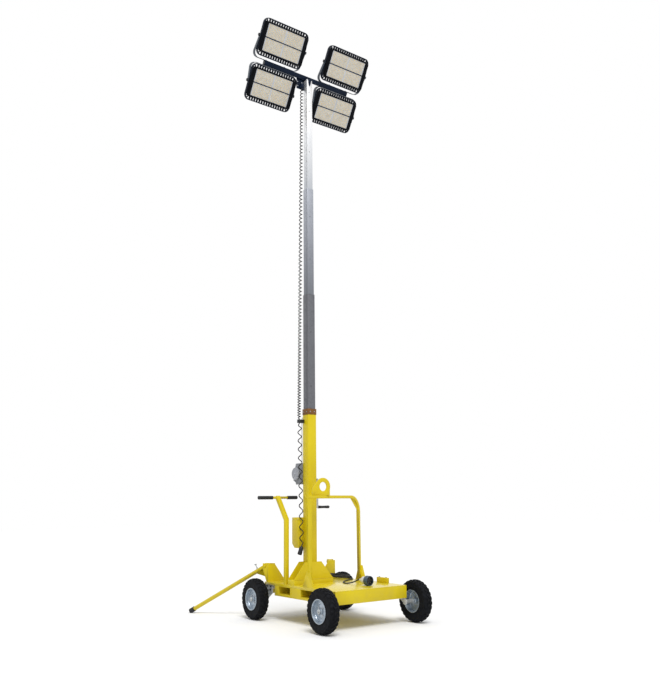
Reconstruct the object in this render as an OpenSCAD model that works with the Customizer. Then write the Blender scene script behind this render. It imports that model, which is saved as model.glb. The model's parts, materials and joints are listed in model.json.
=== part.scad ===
// Mobile light tower: a four-wheeled deck with a telescopic mast, four floodlights on its head,
// a lifting hoop, a push handle, a hand winch and two folding outriggers.
// The machine's own layout is measured from the middle of the four wheel contacts, +X to the
// front, +Y to the far side, +Z up. place() then moves it to the middle of its own footprint.

/* [Wheels] */
// Outer diameter of a tyre
tyre_d = 400; // [380:5:430]
// Width of a tyre
tyre_w = 100; // [90:2:110]
// Radius of a tyre's shoulders
tyre_shoulder_r = 28; // [15:1:35]
// Diameter of the rim's bead seat
rim_seat_d = 204; // [180:2:230]
// Height of the rim's flange above its seat
rim_flange_h = 5; // [3:1:8]
// Thickness of the rim's flange
rim_flange_t = 3; // [2:0.5:5]
// Thickness of the rim's sheet
rim_sheet_t = 4; // [3:0.5:6]
// Depth of the rim's dish behind its outer face
rim_dish_depth = 36; // [25:1:45]
// Outer diameter of the wheel hub
hub_d = 56; // [44:2:70]
// Length of the wheel hub
hub_l = 80; // [60:2:96]
// Half the wheelbase
wheel_x = 587; // [560:1:620]
// Half the track
wheel_y = 556; // [540:1:600]

/* [Axles] */
// Diameter of a stub axle
axle_d = 25; // [20:1:30]
// Clearance of a hub on its axle, on the radius
axle_clear = 0.05; // [0.02:0.01:0.1]
// Clearance beside a hub, along its axle
hub_side_clear = 0.5; // [0.3:0.1:1]
// Width of the square cross beam under the deck
axle_beam_w = 60; // [50:2:70]
// Wall of the cross beam
axle_beam_wall = 4; // [3:0.5:6]
// Distance of the cross beam's middle from the deck's front end
axle_in = 85; // [70:1:100]
// Thickness of a drop plate
drop_plate_t = 8; // [6:1:10]
// Width of a drop plate under the deck
drop_plate_w = 120; // [100:2:124]
// Diameter of a drop plate's boss around the axle
drop_boss_d = 56; // [46:2:60]
// Diameter of the spacer between a drop plate and a hub
axle_spacer_d = 40; // [34:1:46]
// Diameter of an axle nut
axle_nut_d = 38; // [34:1:46]
// Thickness of an axle nut
axle_nut_t = 12; // [8:1:18]

/* [Deck] */
// Length of the deck
deck_l = 1220; // [1200:2:1240]
// Width of the deck
deck_w = 860; // [840:2:900]
// Height of the deck's top
deck_z = 357; // [345:1:380]
// Thickness of the deck's sheet
deck_t = 6; // [4:0.5:8]
// Distance of the deck's middle behind the middle of the wheels
deck_back = 5; // [0:1:15]
// Depth of the front and rear fascias
fascia_h = 120; // [110:1:130]
// Depth of the folded band along each side
band_h = 24; // [18:1:30]
// Length of a side web
side_web_l = 840; // [780:5:880]
// Distance of the rear fork pocket's middle behind the middle of the wheels
fork_rear_x = 243; // [230:1:260]
// Distance of the front fork pocket's middle ahead of the middle of the wheels
fork_front_x = 148; // [135:1:160]
// Clear width of a fork pocket
fork_w = 205; // [180:1:215]
// Clear height of a fork pocket
fork_h = 67; // [60:1:72]
// Wall of a fork pocket
fork_wall = 4; // [3:0.5:6]

/* [Mast] */
// Distance of the mast's axis behind the middle of the wheels
mast_back = 122; // [100:1:140]
// Distance of the mast's axis to the near side of the middle
mast_side = 200; // [180:1:220]
// Width of the lowest section
mast_w = 100; // [90:1:110]
// Wall of every section
mast_wall = 4.5; // [4:0.1:5]
// Clearance between two sections, on each side
mast_clear = 0.5; // [0.3:0.1:0.8]
// Height of the top of the lowest section
mast_top_1 = 2041; // [2000:1:2100]
// Height of the top of the second section
mast_top_2 = 3340; // [3300:1:3400]
// Height of the top of the third section
mast_top_3 = 4556; // [4500:1:4600]
// Height of the top of the highest section
mast_top_4 = 5900; // [5880:1:5903]
// Length of a section left inside the one below when the mast is up
mast_lap = 300; // [250:5:350]
// Height of the collar on the lowest section
collar_h = 60; // [40:1:80]
// Wall of the collar
collar_wall = 7; // [5:0.5:10]
// Height of the beam that the mast stands on
foot_beam_h = 50; // [40:1:60]
// Width of the beam that the mast stands on
foot_beam_w = 112; // [112:1:130]
// Wall of the beam that the mast stands on
foot_beam_wall = 5; // [4:0.5:8]
// Length of the beam that the mast stands on
foot_beam_l = 470; // [450:5:500]
// Height of the mast's gussets
gusset_h = 163; // [120:1:200]
// Thickness of the mast's gussets
gusset_t = 6; // [4:0.5:8]
// Width of the top of the mast's gussets
gusset_top_w = 200; // [160:5:230]

/* [Head] */
// Tilt of the lamp group below the horizontal
head_tilt = 30.3; // [20:0.1:40]
// Distance of the crossbar's axis behind the mast's axis
bar_back = 28; // [15:1:35]
// Height of the crossbar's axis above the top of the mast
bar_rise = 41; // [40:1:60]
// Length of the crossbar
bar_l = 1150; // [1120:5:1250]
// Width of the crossbar's square section
bar_w = 50; // [40:1:52]
// Wall of the crossbar
bar_wall = 4; // [3:0.5:5]
// Thickness of the head plate and of the mast's cap
head_plate_t = 6; // [4:0.5:6]
// Depth of the head plate below the top of the mast
head_plate_lap = 113; // [90:1:120]
// Reach of the head plate beside the mast
head_plate_reach = 96; // [60:1:96]
// Height of the pointed plate on the mast's front
point_plate_h = 85; // [60:1:100]
// Width of that plate at its top
point_plate_w = 46; // [30:1:60]
// Width of the cord holder under the crossbar
cord_holder_w = 38; // [30:1:44]
// Height of the cord holder
cord_holder_h = 36; // [24:1:50]

/* [Lamps] */
// Width of a lamp
lamp_w = 580; // [560:2:590]
// Height of a lamp
lamp_h = 400; // [380:2:404]
// Depth of a lamp
lamp_t = 60; // [50:1:64]
// Radius of a lamp's corners
lamp_corner_r = 60; // [40:1:80]
// Distance between the middles of the left and right lamps
lamp_pitch_y = 870; // [860:2:880]
// Distance of a lamp's middle above or below the crossbar, along the tilted group
lamp_pitch_z = 245; // [243:1:252]
// Distance of the lamps' middle plane above the crossbar, along the tilted group
lamp_lift = 8; // [4:1:9]
// Distance of the lamps' front face ahead of the crossbar's axis
lamp_front = 78; // [76:1:90]
// Width of a lamp's light window
window_w = 473; // [440:1:500]
// Height of the two light windows together
window_h = 290; // [260:1:320]
// Height of the bar between the two windows
window_split = 10; // [6:1:20]
// Depth of the windows behind the lamp's face
window_depth = 4; // [2:0.5:8]
// Thickness of a yoke
yoke_t = 5; // [4:0.5:6]
// Width of a yoke's strip
yoke_w = 36; // [30:1:40]
// Inner radius of a yoke's corners
yoke_r = 64; // [30:1:64]
// Clearance between a lamp and its yoke, on each side
yoke_clear = 4; // [3:0.5:6]
// Diameter of a lamp's pivot pin
lamp_pin_d = 12; // [10:1:16]
// Clearance of a lamp's pivot pin, on the radius
lamp_pin_clear = 0.05; // [0.02:0.01:0.1]
// Diameter of a lamp's side knob
knob_d = 34; // [26:1:40]
// Thickness of a lamp's side knob
knob_t = 13; // [10:1:16]

/* [Hoop] */
// Width of the hoop's square tube
hoop_w = 30; // [25:1:36]
// Height of the hoop's top
hoop_top_z = 1215; // [1150:1:1260]
// Distance of the near leg ahead of the middle of the wheels
hoop_near_x = 172; // [160:1:185]
// Distance of the far leg behind the middle of the wheels
hoop_far_back = 100; // [85:1:115]
// Distance of both legs from the deck's edges
hoop_inset = 21; // [20:1:30]
// Outer radius of the hoop's far bend
hoop_bend_r = 160; // [120:1:200]
// Width of a foot plate at the deck
foot_plate_w = 170; // [150:2:190]
// Width of a foot plate at its top
foot_plate_top_w = 64; // [50:1:80]
// Height of a foot plate
foot_plate_h = 145; // [110:1:170]
// Thickness of the lifting lug
lug_t = 15; // [12:1:20]
// Outer radius of the lifting lug
lug_r = 86; // [76:1:95]
// Radius of the lifting eye
eye_r = 45; // [35:1:50]
// Height of the lifting eye above the hoop
eye_rise = 87; // [80:1:100]
// Distance of the lifting eye to the near side of the middle
eye_side = 195; // [180:1:210]
// Reach of the lug's shoulder from the eye
shoulder_reach = 130; // [110:1:140]

/* [Handle] */
// Distance of the handle's post behind the middle of the wheels
handle_back = 240; // [230:1:250]
// Distance of the post from the deck's near edge
handle_inset = 22; // [20:1:30]
// Width of the handle's square post
handle_w = 40; // [34:1:44]
// Height of the post's bend
handle_bend_z = 980; // [940:1:1020]
// Height of the handle's bar
handle_bar_z = 1200; // [1150:1:1240]
// Reach of the handle's bar behind its post
handle_reach = 160; // [130:1:190]
// Length of the handle's bar
handle_bar_l = 460; // [440:5:480]
// Diameter of the handle's bar
handle_bar_d = 26; // [22:1:30]
// Length of the near grip
grip_near_l = 170; // [150:1:180]
// Length of the far grip
grip_far_l = 120; // [100:1:140]
// Diameter of the grips
grip_d = 36; // [32:1:42]

/* [Winch] */
// Height of the crank's axis
crank_z = 1385; // [1375:1:1400]
// Distance of the crank's axis behind the mast's back face
crank_back = 128; // [124:1:138]
// Length of the crank's arm
crank_l = 285; // [260:1:290]
// Thickness of the crank's arm
crank_t = 8; // [6:1:10]
// Width of the crank's arm
crank_w = 26; // [22:1:32]
// Diameter of the crank's shaft
crank_shaft_d = 18; // [14:1:22]
// Clearance of the winch's shafts in its cheeks, on the radius
winch_clear = 0.05; // [0.02:0.01:0.1]
// Distance of the crank's arm from the winch's cheek
crank_offset = 177; // [150:1:190]
// Length of the crank's grip
crank_grip_l = 150; // [120:1:170]
// Diameter of the crank's grip
crank_grip_d = 30; // [24:1:34]
// Distance between the winch's cheeks
winch_gap = 100; // [94:1:120]
// Thickness of the winch's sheet
winch_t = 5; // [4:0.5:6]
// Distance of the winch's outer edge from the mast's back face
winch_depth = 150; // [148:1:180]
// Height of the winch's frame
winch_h = 215; // [200:1:230]
// Height of the crank's axis above the underside of the winch's frame
crank_above = 55; // [45:1:60]
// Distance of the winch's middle to the near side of the mast's axis
winch_side = 12; // [10:1:24]
// Diameter of the winch's gear cover
gear_cover_d = 126; // [120:2:150]
// Thickness of the winch's gear cover
gear_cover_t = 14; // [12:1:24]
// Distance of the gear cover's middle ahead of the drum's axis
gear_cover_ahead = 14; // [0:1:20]
// Distance of the gear cover's middle below the drum's axis
gear_cover_drop = 15; // [10:1:20]
// Diameter of the drum's core
drum_d = 56; // [46:1:60]
// Diameter of the drum's flanges
drum_flange_d = 100; // [90:1:104]
// Height of the drum's axis above the crank's axis
drum_rise = 70; // [68:1:74]
// Distance of the drum's axis ahead of the crank's axis
drum_ahead = 25; // [20:1:30]
// Diameter of the winch's wire rope
rope_d = 6; // [5:0.5:8]
// Gap between the rope and the drum or the pulley
rope_gap = 0.3; // [0.2:0.1:0.5]
// Radius of the rope pulley's groove
pulley_r = 24; // [20:1:30]
// Depth of the rope pulley's groove
pulley_groove = 6; // [4:1:8]
// Height of the pulley's axis below the top of the lowest section
pulley_drop = 45; // [40:1:60]

/* [Control box] */
// Depth of the box behind the mast
box_depth = 128; // [110:1:140]
// Width of the box
box_w = 200; // [180:2:220]
// Height of the box
box_h = 300; // [280:2:320]
// Height of the box's underside
box_z = 700; // [680:1:720]
// Size of the slope on the box's lower outer edge
box_slope = 42; // [30:1:60]

/* [Outriggers] */
// Splay of an outrigger from straight back
arm_splay = 27; // [20:1:30]
// Distance of an outrigger's pivot behind the middle of the wheels
arm_back = 618; // [612:1:630]
// Distance of an outrigger's pivot inside the deck's side
arm_in = 21; // [15:1:30]
// Height of an outrigger's pivot
arm_pivot_z = 512; // [500:1:520]
// Diameter of an outrigger's pipe
arm_d = 42; // [36:1:46]
// Slope of an outrigger's pipe
arm_slope = 27.5; // [25:0.5:32]
// Diameter of an outrigger's rubber foot
foot_d = 52; // [48:1:60]
// Length of an outrigger's rubber foot
foot_l = 60; // [50:1:80]
// Thickness of the foot's end
foot_end_t = 10; // [6:1:14]
// Depth of the flat worn on the foot where it meets the ground
foot_flat = 5; // [2:1:8]
// Diameter of an outrigger's pivot pin
arm_pin_d = 16; // [12:1:20]
// Clearance of a pivot pin in its cheeks, on the radius
arm_pin_clear = 0.05; // [0.02:0.01:0.1]
// Clearance between an outrigger and each of its cheeks
cheek_clear = 2; // [1:0.5:4]
// Thickness of the bracket's plates
bracket_t = 6; // [5:0.5:8]
// Height of the bracket above the deck
bracket_h = 173; // [172:1:190]
// Width of the bracket's plate at the deck
bracket_w = 215; // [190:1:230]
// Width of the bracket's plate at its top
bracket_top_w = 85; // [70:1:100]
// Distance of the bracket's plate ahead of the pivot
bracket_ahead = 66; // [60:1:72]

/* [Cords] */
// Outer diameter of the upper curly cord
curl_d = 38; // [34:1:40]
// Outer diameter of the lower curly cord
curl_low_d = 46; // [38:1:48]
// Distance of the upper curly cord's top from the lowest section's near face
curl_top_off = 29; // [28:1:40]
// Distance of the upper curly cord's top behind the mast's axis
curl_top_back = 8; // [0:1:12]
// Distance of its top below the top of the mast
curl_drop = 110; // [100:1:120]
// Distance of the cord clamp's middle from the mast's near face
clamp_off = 58; // [50:1:64]
// Distance of the cord clamp's middle behind the mast's axis
clamp_back = 34; // [26:1:38]
// Distance of the lower curly cord's bottom from the mast's near face
curl_low_off = 40; // [36:1:50]
// Distance of the lower curly cord's bottom behind the mast's axis
curl_low_back = 18; // [12:1:24]
// Height of the cord clamp's underside
clamp_z = 1955; // [1930:1:1970]
// Height of the cord clamp
clamp_h = 36; // [24:1:40]
// Width of the cord clamp
clamp_w = 30; // [24:1:40]
// Height of the lower curly cord's bottom end
curl_low_z = 725; // [710:1:760]
// Diameter of the curly cord's plug
curl_plug_d = 46; // [40:1:50]
// Length of the curly cord's plug
curl_plug_l = 80; // [70:1:90]
// Lean of the curly cord's plug
curl_plug_lean = 20; // [0:1:24]
// Diameter of the supply cable
cable_d = 12; // [12:1:14]
// Diameter of the supply cable's gland
gland_d = 30; // [24:1:34]
// Length of the supply cable's gland
gland_l = 30; // [24:1:36]
// Distance of the gland behind the mast's back face
gland_back = 43; // [36:1:60]
// Distance of the gland to the far side of the mast's axis
gland_side = 60; // [50:1:70]
// Diameter of the supply plug's collar
plug_d = 93; // [84:1:96]
// Diameter of the supply plug's body
plug_body_d = 70; // [60:1:76]
// Length of the supply plug
plug_l = 160; // [140:1:170]
// Length of the supply plug's collar
plug_collar_l = 52; // [40:1:60]
// Distance of the supply plug's tail ahead of the middle of the wheels
plug_x = 288; // [260:1:300]
// Distance of the supply plug to the far side of the middle
plug_y = 104; // [95:1:115]
// Width of the cable's hank
hank_w = 98; // [94:1:104]
// Height of the cable's hank
hank_h = 50; // [46:1:56]

/* [Small fittings] */
// Length of the block on the deck's far edge
block_l = 160; // [140:2:180]
// Height of the block on the deck's far edge
block_h = 48; // [40:1:55]
// Width of the block on the deck's far edge
block_w = 30; // [24:1:36]
// Distance of the block's rear end ahead of the middle of the wheels
block_x = 190; // [180:1:210]

/* [Hidden] */
$fn = 96;

tyre_r = tyre_d / 2;
rim_seat_r = rim_seat_d / 2;
deck_x0 = -deck_back - deck_l / 2;
deck_x1 = -deck_back + deck_l / 2;
deck_under = deck_z - deck_t;
fascia_z = deck_z - fascia_h;
axle_beam_x = deck_x1 - axle_in;
half_w = deck_w / 2;
fork_top = deck_z - band_h;
fork_out_w = fork_w + 2 * fork_wall;
fork_out_h = fork_h + 2 * fork_wall;

mast_x = -mast_back;
mast_y = -mast_side;
mast_step = 2 * (mast_wall + mast_clear);
mast_foot_z = deck_z + foot_beam_h;
mast_tops = [mast_top_1, mast_top_2, mast_top_3, mast_top_4];
mast_back_x = mast_x - mast_w / 2;
mast_near_y = mast_y - mast_w / 2;
beam_y0 = -half_w;

bar_x = mast_x - bar_back;
bar_z = mast_top_4 + bar_rise;
pivot_in = lamp_front - lamp_t / 2;
yoke_y = lamp_w / 2 + yoke_clear;

hoop_near = [hoop_near_x, -half_w + hoop_inset];
hoop_far = [-hoop_far_back, half_w - hoop_inset];
hoop_run = hoop_far - hoop_near;
hoop_span = norm(hoop_run);
hoop_turn = atan2(hoop_run[1], hoop_run[0]);
eye_x = hoop_near_x + hoop_run[0] * (-eye_side - hoop_near[1]) / hoop_run[1];
eye_z = hoop_top_z + eye_rise;

handle_y = -half_w + handle_inset;

winch_y = mast_y - winch_side;
crank_x = mast_back_x - crank_back;
drum_x = crank_x + drum_ahead;
drum_z = crank_z + drum_rise;
rope_x = drum_x + drum_d / 2 + rope_d / 2 + rope_gap;
pulley_x = rope_x + pulley_r + rope_d / 2 + rope_gap;
pulley_z = mast_top_1 - pulley_drop;

arm_side = half_w - arm_in;
arm_end_z = foot_d / 2 * cos(arm_slope) - foot_flat;
arm_l = (arm_pivot_z - arm_end_z) / sin(arm_slope);
arm_reach = arm_l * cos(arm_slope);
cheek_in = arm_d / 2 + cheek_clear;

clamp_x = mast_x - clamp_back;
clamp_y = mast_near_y - clamp_off;
// The curly cords' ends: the upper one's foot and top, and the lower one's top and foot.
cord_gap = 0.3;
curl_foot = [clamp_x, clamp_y, clamp_z + clamp_h + cord_gap];
curl_top = [mast_x - curl_top_back, mast_near_y - curl_top_off, mast_top_4 - curl_drop];
curl_low_top = [clamp_x, clamp_y + 6, clamp_z - 2 * cord_gap];
curl_low_foot = [mast_x - curl_low_back, mast_near_y - curl_low_off, curl_low_z];
cable_z = deck_z + cable_d / 2 + 0.3;
gland = [mast_back_x - gland_back, mast_y + gland_side, box_z - gland_l];
plug_tail = [plug_x, plug_y, deck_z + plug_d / 2 + 0.3];
hank_ends = [[-488, 348], [-278, 362]];
cable_route = [
    gland, [gland[0], gland[1], 600], [-217, -138, 530], [-224, -127, 460],
    [-236, -108, 405], [-256, -72, 375], [-284, -16, cable_z], [-318, 52, cable_z],
    [-352, 120, cable_z], [-386, 190, cable_z], [-422, 250, cable_z + 1],
    [-454.6, 297, cable_z + 3]
];
lead_route = [
    [-228, 371, cable_z + 2], [-198, 381, cable_z], [-168, 378, cable_z], [-146, 358, cable_z],
    [-132, 325, cable_z], [-112, 280, cable_z], [-70, 212, cable_z], [-15, 143, cable_z],
    [40, 92, cable_z], [95, 62, cable_z], [150, 58, cable_z], [195, 70, cable_z + 5],
    [plug_x - 52, plug_y - 14, cable_z + 22], [plug_x - 30, plug_y - 2, plug_tail[2] - 5],
    [plug_x - 15, plug_y, plug_tail[2]], plug_tail - [0.8, 0, 0]
];

// Half extents of an outrigger's end disc, along X and along Y.
arm_end_x = arm_back + arm_reach * cos(arm_splay);
arm_end_y = arm_side + arm_reach * sin(arm_splay);
disc_x = foot_d / 2 * sqrt(1 - pow(cos(arm_slope) * cos(arm_splay), 2));
disc_y = foot_d / 2 * sqrt(1 - pow(cos(arm_slope) * sin(arm_splay), 2));
lamp_out_y = lamp_pitch_y / 2 + yoke_y + yoke_t + hub_side_clear + knob_t;
x_min = -max(arm_end_x + disc_x, wheel_x + tyre_r);
x_max = wheel_x + tyre_r;
y_min = min(mast_y - lamp_out_y, -arm_end_y - disc_y);
y_max = max(mast_y + lamp_out_y, arm_end_y + disc_y);

// The origin is the middle of the machine's footprint, on the ground.
module place() {
    translate([-(x_min + x_max) / 2, -(y_min + y_max) / 2, 0]) children();
}

// ---- Shapes used by several pieces ----
function unit(v) = v / norm(v);
function left_of(v) = [-v[1], v[0]];
function strip_side(p, half) = [
    for (i = [0:len(p) - 1])
        let (
            a = i > 0 ? unit(p[i] - p[i - 1]) : unit(p[1] - p[0]),
            b = i < len(p) - 1 ? unit(p[i + 1] - p[i]) : a,
            n = unit(left_of(a) + left_of(b))
        ) p[i] + n * half / (n * left_of(a))
];
function reversed(p) = [for (i = [len(p) - 1:-1:0]) p[i]];
// A flat strip of one width along a line with mitred corners.
module strip(p, w) {
    polygon(concat(strip_side(p, w / 2), reversed(strip_side(p, -w / 2))));
}
// Stands a flat shape up in the XZ plane, t thick along Y and centred on it.
module upright(t) {
    rotate([90, 0, 0]) linear_extrude(height = t, center = true) children();
}
// Stands a flat shape up in the YZ plane, t thick along X and centred on it.
module crosswise(t) {
    rotate([90, 0, 90]) linear_extrude(height = t, center = true) children();
}
module rod_y(d, l) {
    rotate([90, 0, 0]) cylinder(d = d, h = l, center = true);
}
module square_tube(w, wall, h) {
    difference() {
        translate([-w / 2, -w / 2, 0]) cube([w, w, h]);
        translate([-w / 2 + wall, -w / 2 + wall, -1]) cube([w - 2 * wall, w - 2 * wall, h + 2]);
    }
}
// Points along a smooth curve through p, with two steps from each point to the next.
function clamped(p, i) = p[max(0, min(len(p) - 1, i))];
function curve_point(a, b, c, d, t) =
    0.5 * (2 * b + (c - a) * t + (2 * a - 5 * b + 4 * c - d) * t * t
    + (3 * b - a - 3 * c + d) * t * t * t);
function curve(p) = concat(
    [for (i = [0:len(p) - 2], t = [0, 0.5])
        curve_point(clamped(p, i - 1), p[i], p[i + 1], clamped(p, i + 2), t)],
    [p[len(p) - 1]]
);
function headings(p) = [
    for (i = [0:len(p) - 1]) unit(p[min(i + 1, len(p) - 1)] - p[max(i - 1, 0)])
];
function carried(h, i, n) =
    i == len(h) ? [] :
    let (m = unit(n - h[i] * (n * h[i]))) concat([m], carried(h, i + 1, m));
// A round tube along the curve through a route.
module swept(route, d, count = 10) {
    p = curve(route);
    h = headings(p);
    n = carried(h, 0, [0.3, 1, 0.2]);
    last = len(p) - 1;
    rings = [
        for (i = [0:last], k = [0:count - 1])
            p[i] + d / 2 * (n[i] * cos(360 * k / count) + cross(h[i], n[i]) * sin(360 * k / count))
    ];
    walls = [
        for (i = [0:last - 1], k = [0:count - 1], half = [0, 1])
            let (a = i * count + k, b = i * count + (k + 1) % count)
                half == 0 ? [a, a + count, b] : [b, a + count, b + count]
    ];
    caps = [[for (k = [0:count - 1]) k], [for (k = [count - 1:-1:0]) last * count + k]];
    polyhedron(points = rings, faces = concat(walls, caps));
}

// ---- Deck ----
module deck_plate() {
    color("gold") place() {
        translate([deck_x0, -half_w, deck_under]) cube([deck_l, deck_w, deck_t]);
        for (y = [-half_w, half_w - deck_t])
            translate([deck_x0 + deck_t, y, fork_top])
                cube([deck_l - 2 * deck_t, deck_t, band_h - deck_t]);
    }
}
module fascia(x) {
    color("gold") place() translate([x, -half_w, fascia_z]) cube([deck_t, deck_w, fascia_h - deck_t]);
}
module front_fascia() {
    fascia(deck_x1 - deck_t);
}
module rear_fascia() {
    fascia(deck_x0);
}
module side_webs() {
    color("gold") place() for (side = [-1, 1]) difference() {
        translate([-side_web_l / 2, side * (half_w - deck_t / 2) - deck_t / 2, fascia_z])
            cube([side_web_l, deck_t, fork_top - fascia_z]);
        for (x = [-fork_rear_x, fork_front_x])
            translate([x - fork_out_w / 2, side * half_w - deck_w / 4, fork_top - fork_out_h])
                cube([fork_out_w, deck_w / 2, fork_out_h + 1]);
    }
}
module fork_pocket(x) {
    color("gold") place() translate([x, 0, fork_top - fork_out_h / 2]) difference() {
        cube([fork_out_w, deck_w, fork_out_h], center = true);
        cube([fork_w, deck_w + 2, fork_h], center = true);
    }
}
module fork_pocket_rear() {
    fork_pocket(-fork_rear_x);
}
module fork_pocket_front() {
    fork_pocket(fork_front_x);
}
module deck_block() {
    color("khaki") place()
        translate([block_x, half_w - block_w, deck_z]) cube([block_l, block_w, block_h]);
}

// ---- Axles and wheels ----
module drop_plate_outline() {
    inner = axle_beam_x - drop_plate_w / 2 + 10;
    outer = deck_x1 - deck_t - 1;
    polygon([
        [inner, deck_under], [outer, deck_under], [outer, tyre_r + drop_boss_d / 4],
        [wheel_x - drop_boss_d / 4, tyre_r - drop_boss_d / 4], [inner, tyre_r + drop_boss_d]
    ]);
    translate([wheel_x, tyre_r]) circle(d = drop_boss_d);
}
module half_axle() {
    plate_out = half_w - deck_t;
    hub_in = wheel_y - hub_l / 2 - hub_side_clear;
    hub_out = wheel_y + hub_l / 2 + hub_side_clear;
    translate([0, plate_out - drop_plate_t / 2, 0]) upright(drop_plate_t) drop_plate_outline();
    translate([wheel_x, 0, tyre_r]) rotate([-90, 0, 0]) {
        translate([0, 0, plate_out]) cylinder(d = axle_spacer_d, h = hub_in - plate_out);
        translate([0, 0, plate_out]) cylinder(d = axle_d, h = hub_out - plate_out + axle_nut_t);
        translate([0, 0, hub_out]) cylinder(d = axle_nut_d, h = axle_nut_t);
    }
}
module axle(end) {
    beam_l = deck_w - 2 * deck_t - 2 * drop_plate_t;
    color("silver") place() mirror([end < 0 ? 1 : 0, 0, 0]) {
        translate([axle_beam_x, 0, deck_under - axle_beam_w / 2]) rotate([90, 0, 0])
            translate([0, 0, -beam_l / 2]) square_tube(axle_beam_w, axle_beam_wall, beam_l);
        half_axle();
        mirror([0, 1, 0]) half_axle();
    }
}
module axle_front() {
    axle(1);
}
module axle_rear() {
    axle(-1);
}
module at_wheel(end, side) {
    place() translate([end * wheel_x, side * wheel_y, tyre_r]) rotate([-90 * side, 0, 0]) children();
}
module tyre(end, side) {
    core = tyre_w / 2 - tyre_shoulder_r;
    color("dimgray") at_wheel(end, side) rotate_extrude() {
        translate([rim_seat_r, -tyre_w / 2])
            square([tyre_r - tyre_shoulder_r - rim_seat_r, tyre_w]);
        translate([rim_seat_r, -core]) square([tyre_r - rim_seat_r, 2 * core]);
        for (s = [-1, 1])
            translate([tyre_r - tyre_shoulder_r, s * core]) circle(r = tyre_shoulder_r);
    }
}
module rim(end, side) {
    face = tyre_w / 2 + rim_flange_t;
    color("lightsteelblue") at_wheel(end, side) rotate_extrude() {
        translate([rim_seat_r - rim_sheet_t, -face]) square([rim_sheet_t, 2 * face]);
        for (y = [-face, face - rim_flange_t])
            translate([rim_seat_r - 1, y]) square([rim_flange_h + 1, rim_flange_t]);
        translate([hub_d / 2 - 1, face - rim_dish_depth])
            square([rim_seat_r - hub_d / 2 - rim_sheet_t + 2, rim_sheet_t]);
        translate([axle_d / 2 + axle_clear, -hub_l / 2])
            square([hub_d / 2 - axle_d / 2 - axle_clear, hub_l]);
    }
}
module tyre_front_near() {
    tyre(1, -1);
}
module tyre_front_far() {
    tyre(1, 1);
}
module tyre_rear_near() {
    tyre(-1, -1);
}
module tyre_rear_far() {
    tyre(-1, 1);
}
module rim_front_near() {
    rim(1, -1);
}
module rim_front_far() {
    rim(1, 1);
}
module rim_rear_near() {
    rim(-1, -1);
}
module rim_rear_far() {
    rim(-1, 1);
}

// ---- Mast ----
module mast_foot_beam() {
    color("gold") place() translate([mast_x, beam_y0 + foot_beam_l / 2, deck_z + foot_beam_h / 2])
        difference() {
            cube([foot_beam_w, foot_beam_l, foot_beam_h], center = true);
            translate([0, foot_beam_wall, 0]) cube([foot_beam_w - 2 * foot_beam_wall, foot_beam_l,
                foot_beam_h - 2 * foot_beam_wall], center = true);
        }
}
module mast_gussets() {
    color("gold") place()
        for (s = [-1, 1])
            translate([mast_x + s * (mast_w + gusset_t) / 2, 0, mast_foot_z]) crosswise(gusset_t)
                polygon([
                    [beam_y0, 0], [beam_y0 + foot_beam_l, 0],
                    [mast_y + gusset_top_w / 2, gusset_h], [mast_y - gusset_top_w / 2, gusset_h]
                ]);
}
module mast_section(i) {
    bottom = i == 0 ? mast_foot_z : mast_tops[i - 1] - mast_lap;
    place() translate([mast_x, mast_y, bottom])
        square_tube(mast_w - i * mast_step, mast_wall, mast_tops[i] - bottom);
}
module mast_tube_1() {
    color("gold") mast_section(0);
}
module mast_tube_2() {
    color("silver") mast_section(1);
}
module mast_tube_3() {
    color("silver") mast_section(2);
}
module mast_tube_4() {
    color("silver") mast_section(3);
}
module mast_collar() {
    bore = mast_w - 2 * mast_wall;
    color("peru") place() translate([mast_x, mast_y, mast_top_1])
        square_tube(bore + 2 * collar_wall, collar_wall, collar_h);
}

// ---- Head and lamps ----
// The lamp group's own axes: X out of the lamps' faces, Z up along the tilted group.
module in_head() {
    place() translate([bar_x, mast_y, bar_z]) rotate([0, head_tilt, 0]) children();
}
function head_point(x, z) = [
    bar_x + x * cos(head_tilt) + z * sin(head_tilt),
    bar_z - x * sin(head_tilt) + z * cos(head_tilt)
];
module head_mount() {
    w4 = mast_w - 3 * mast_step;
    back = mast_x - w4 / 2;
    front = mast_x + w4 / 2;
    far = mast_y + w4 / 2;
    near = mast_y - w4 / 2 - head_plate_reach;
    cap_z = mast_top_4 + head_plate_t;
    // The crossbar's underside, where the head plate is welded to it
    seat = [head_point(bar_w / 2, -bar_w / 2), head_point(-bar_w / 2, -bar_w / 2)];
    slope = (seat[1][1] - seat[0][1]) / (seat[1][0] - seat[0][0]);
    plate_z = seat[0][1] + (back - seat[0][0]) * slope;
    color("darkslategray") place() {
        translate([0, (near + far) / 2, 0]) upright(far - near) polygon([
            [back, mast_top_4 - head_plate_lap], [back, plate_z],
            [back - head_plate_t, plate_z - head_plate_t * slope],
            [back - head_plate_t, mast_top_4 - head_plate_lap]
        ]);
        translate([back - 1, mast_y - w4 / 2, mast_top_4])
            cube([w4 + 1 + head_plate_t, w4, head_plate_t]);
        // Pointed plate and its block on the front
        translate([front + head_plate_t / 2, mast_y, cap_z]) crosswise(head_plate_t) polygon([
            [-point_plate_w / 2, 0], [point_plate_w / 2, 0], [5, -point_plate_h], [-5, -point_plate_h]
        ]);
        translate([front + 1, mast_y - 8, cap_z - point_plate_h * 0.6]) cube([14, 16, 20]);
        // Cord holder in front of the head plate
        translate([back - 1, curl_top[1] - cord_holder_w / 2, curl_top[2] + 8])
            cube([curl_top[0] + curl_d / 2 - back + 1, cord_holder_w, cord_holder_h]);
        translate([curl_top[0], curl_top[1], curl_top[2] + cord_gap]) cylinder(d = curl_d - 8, h = 10);
    }
}
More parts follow.
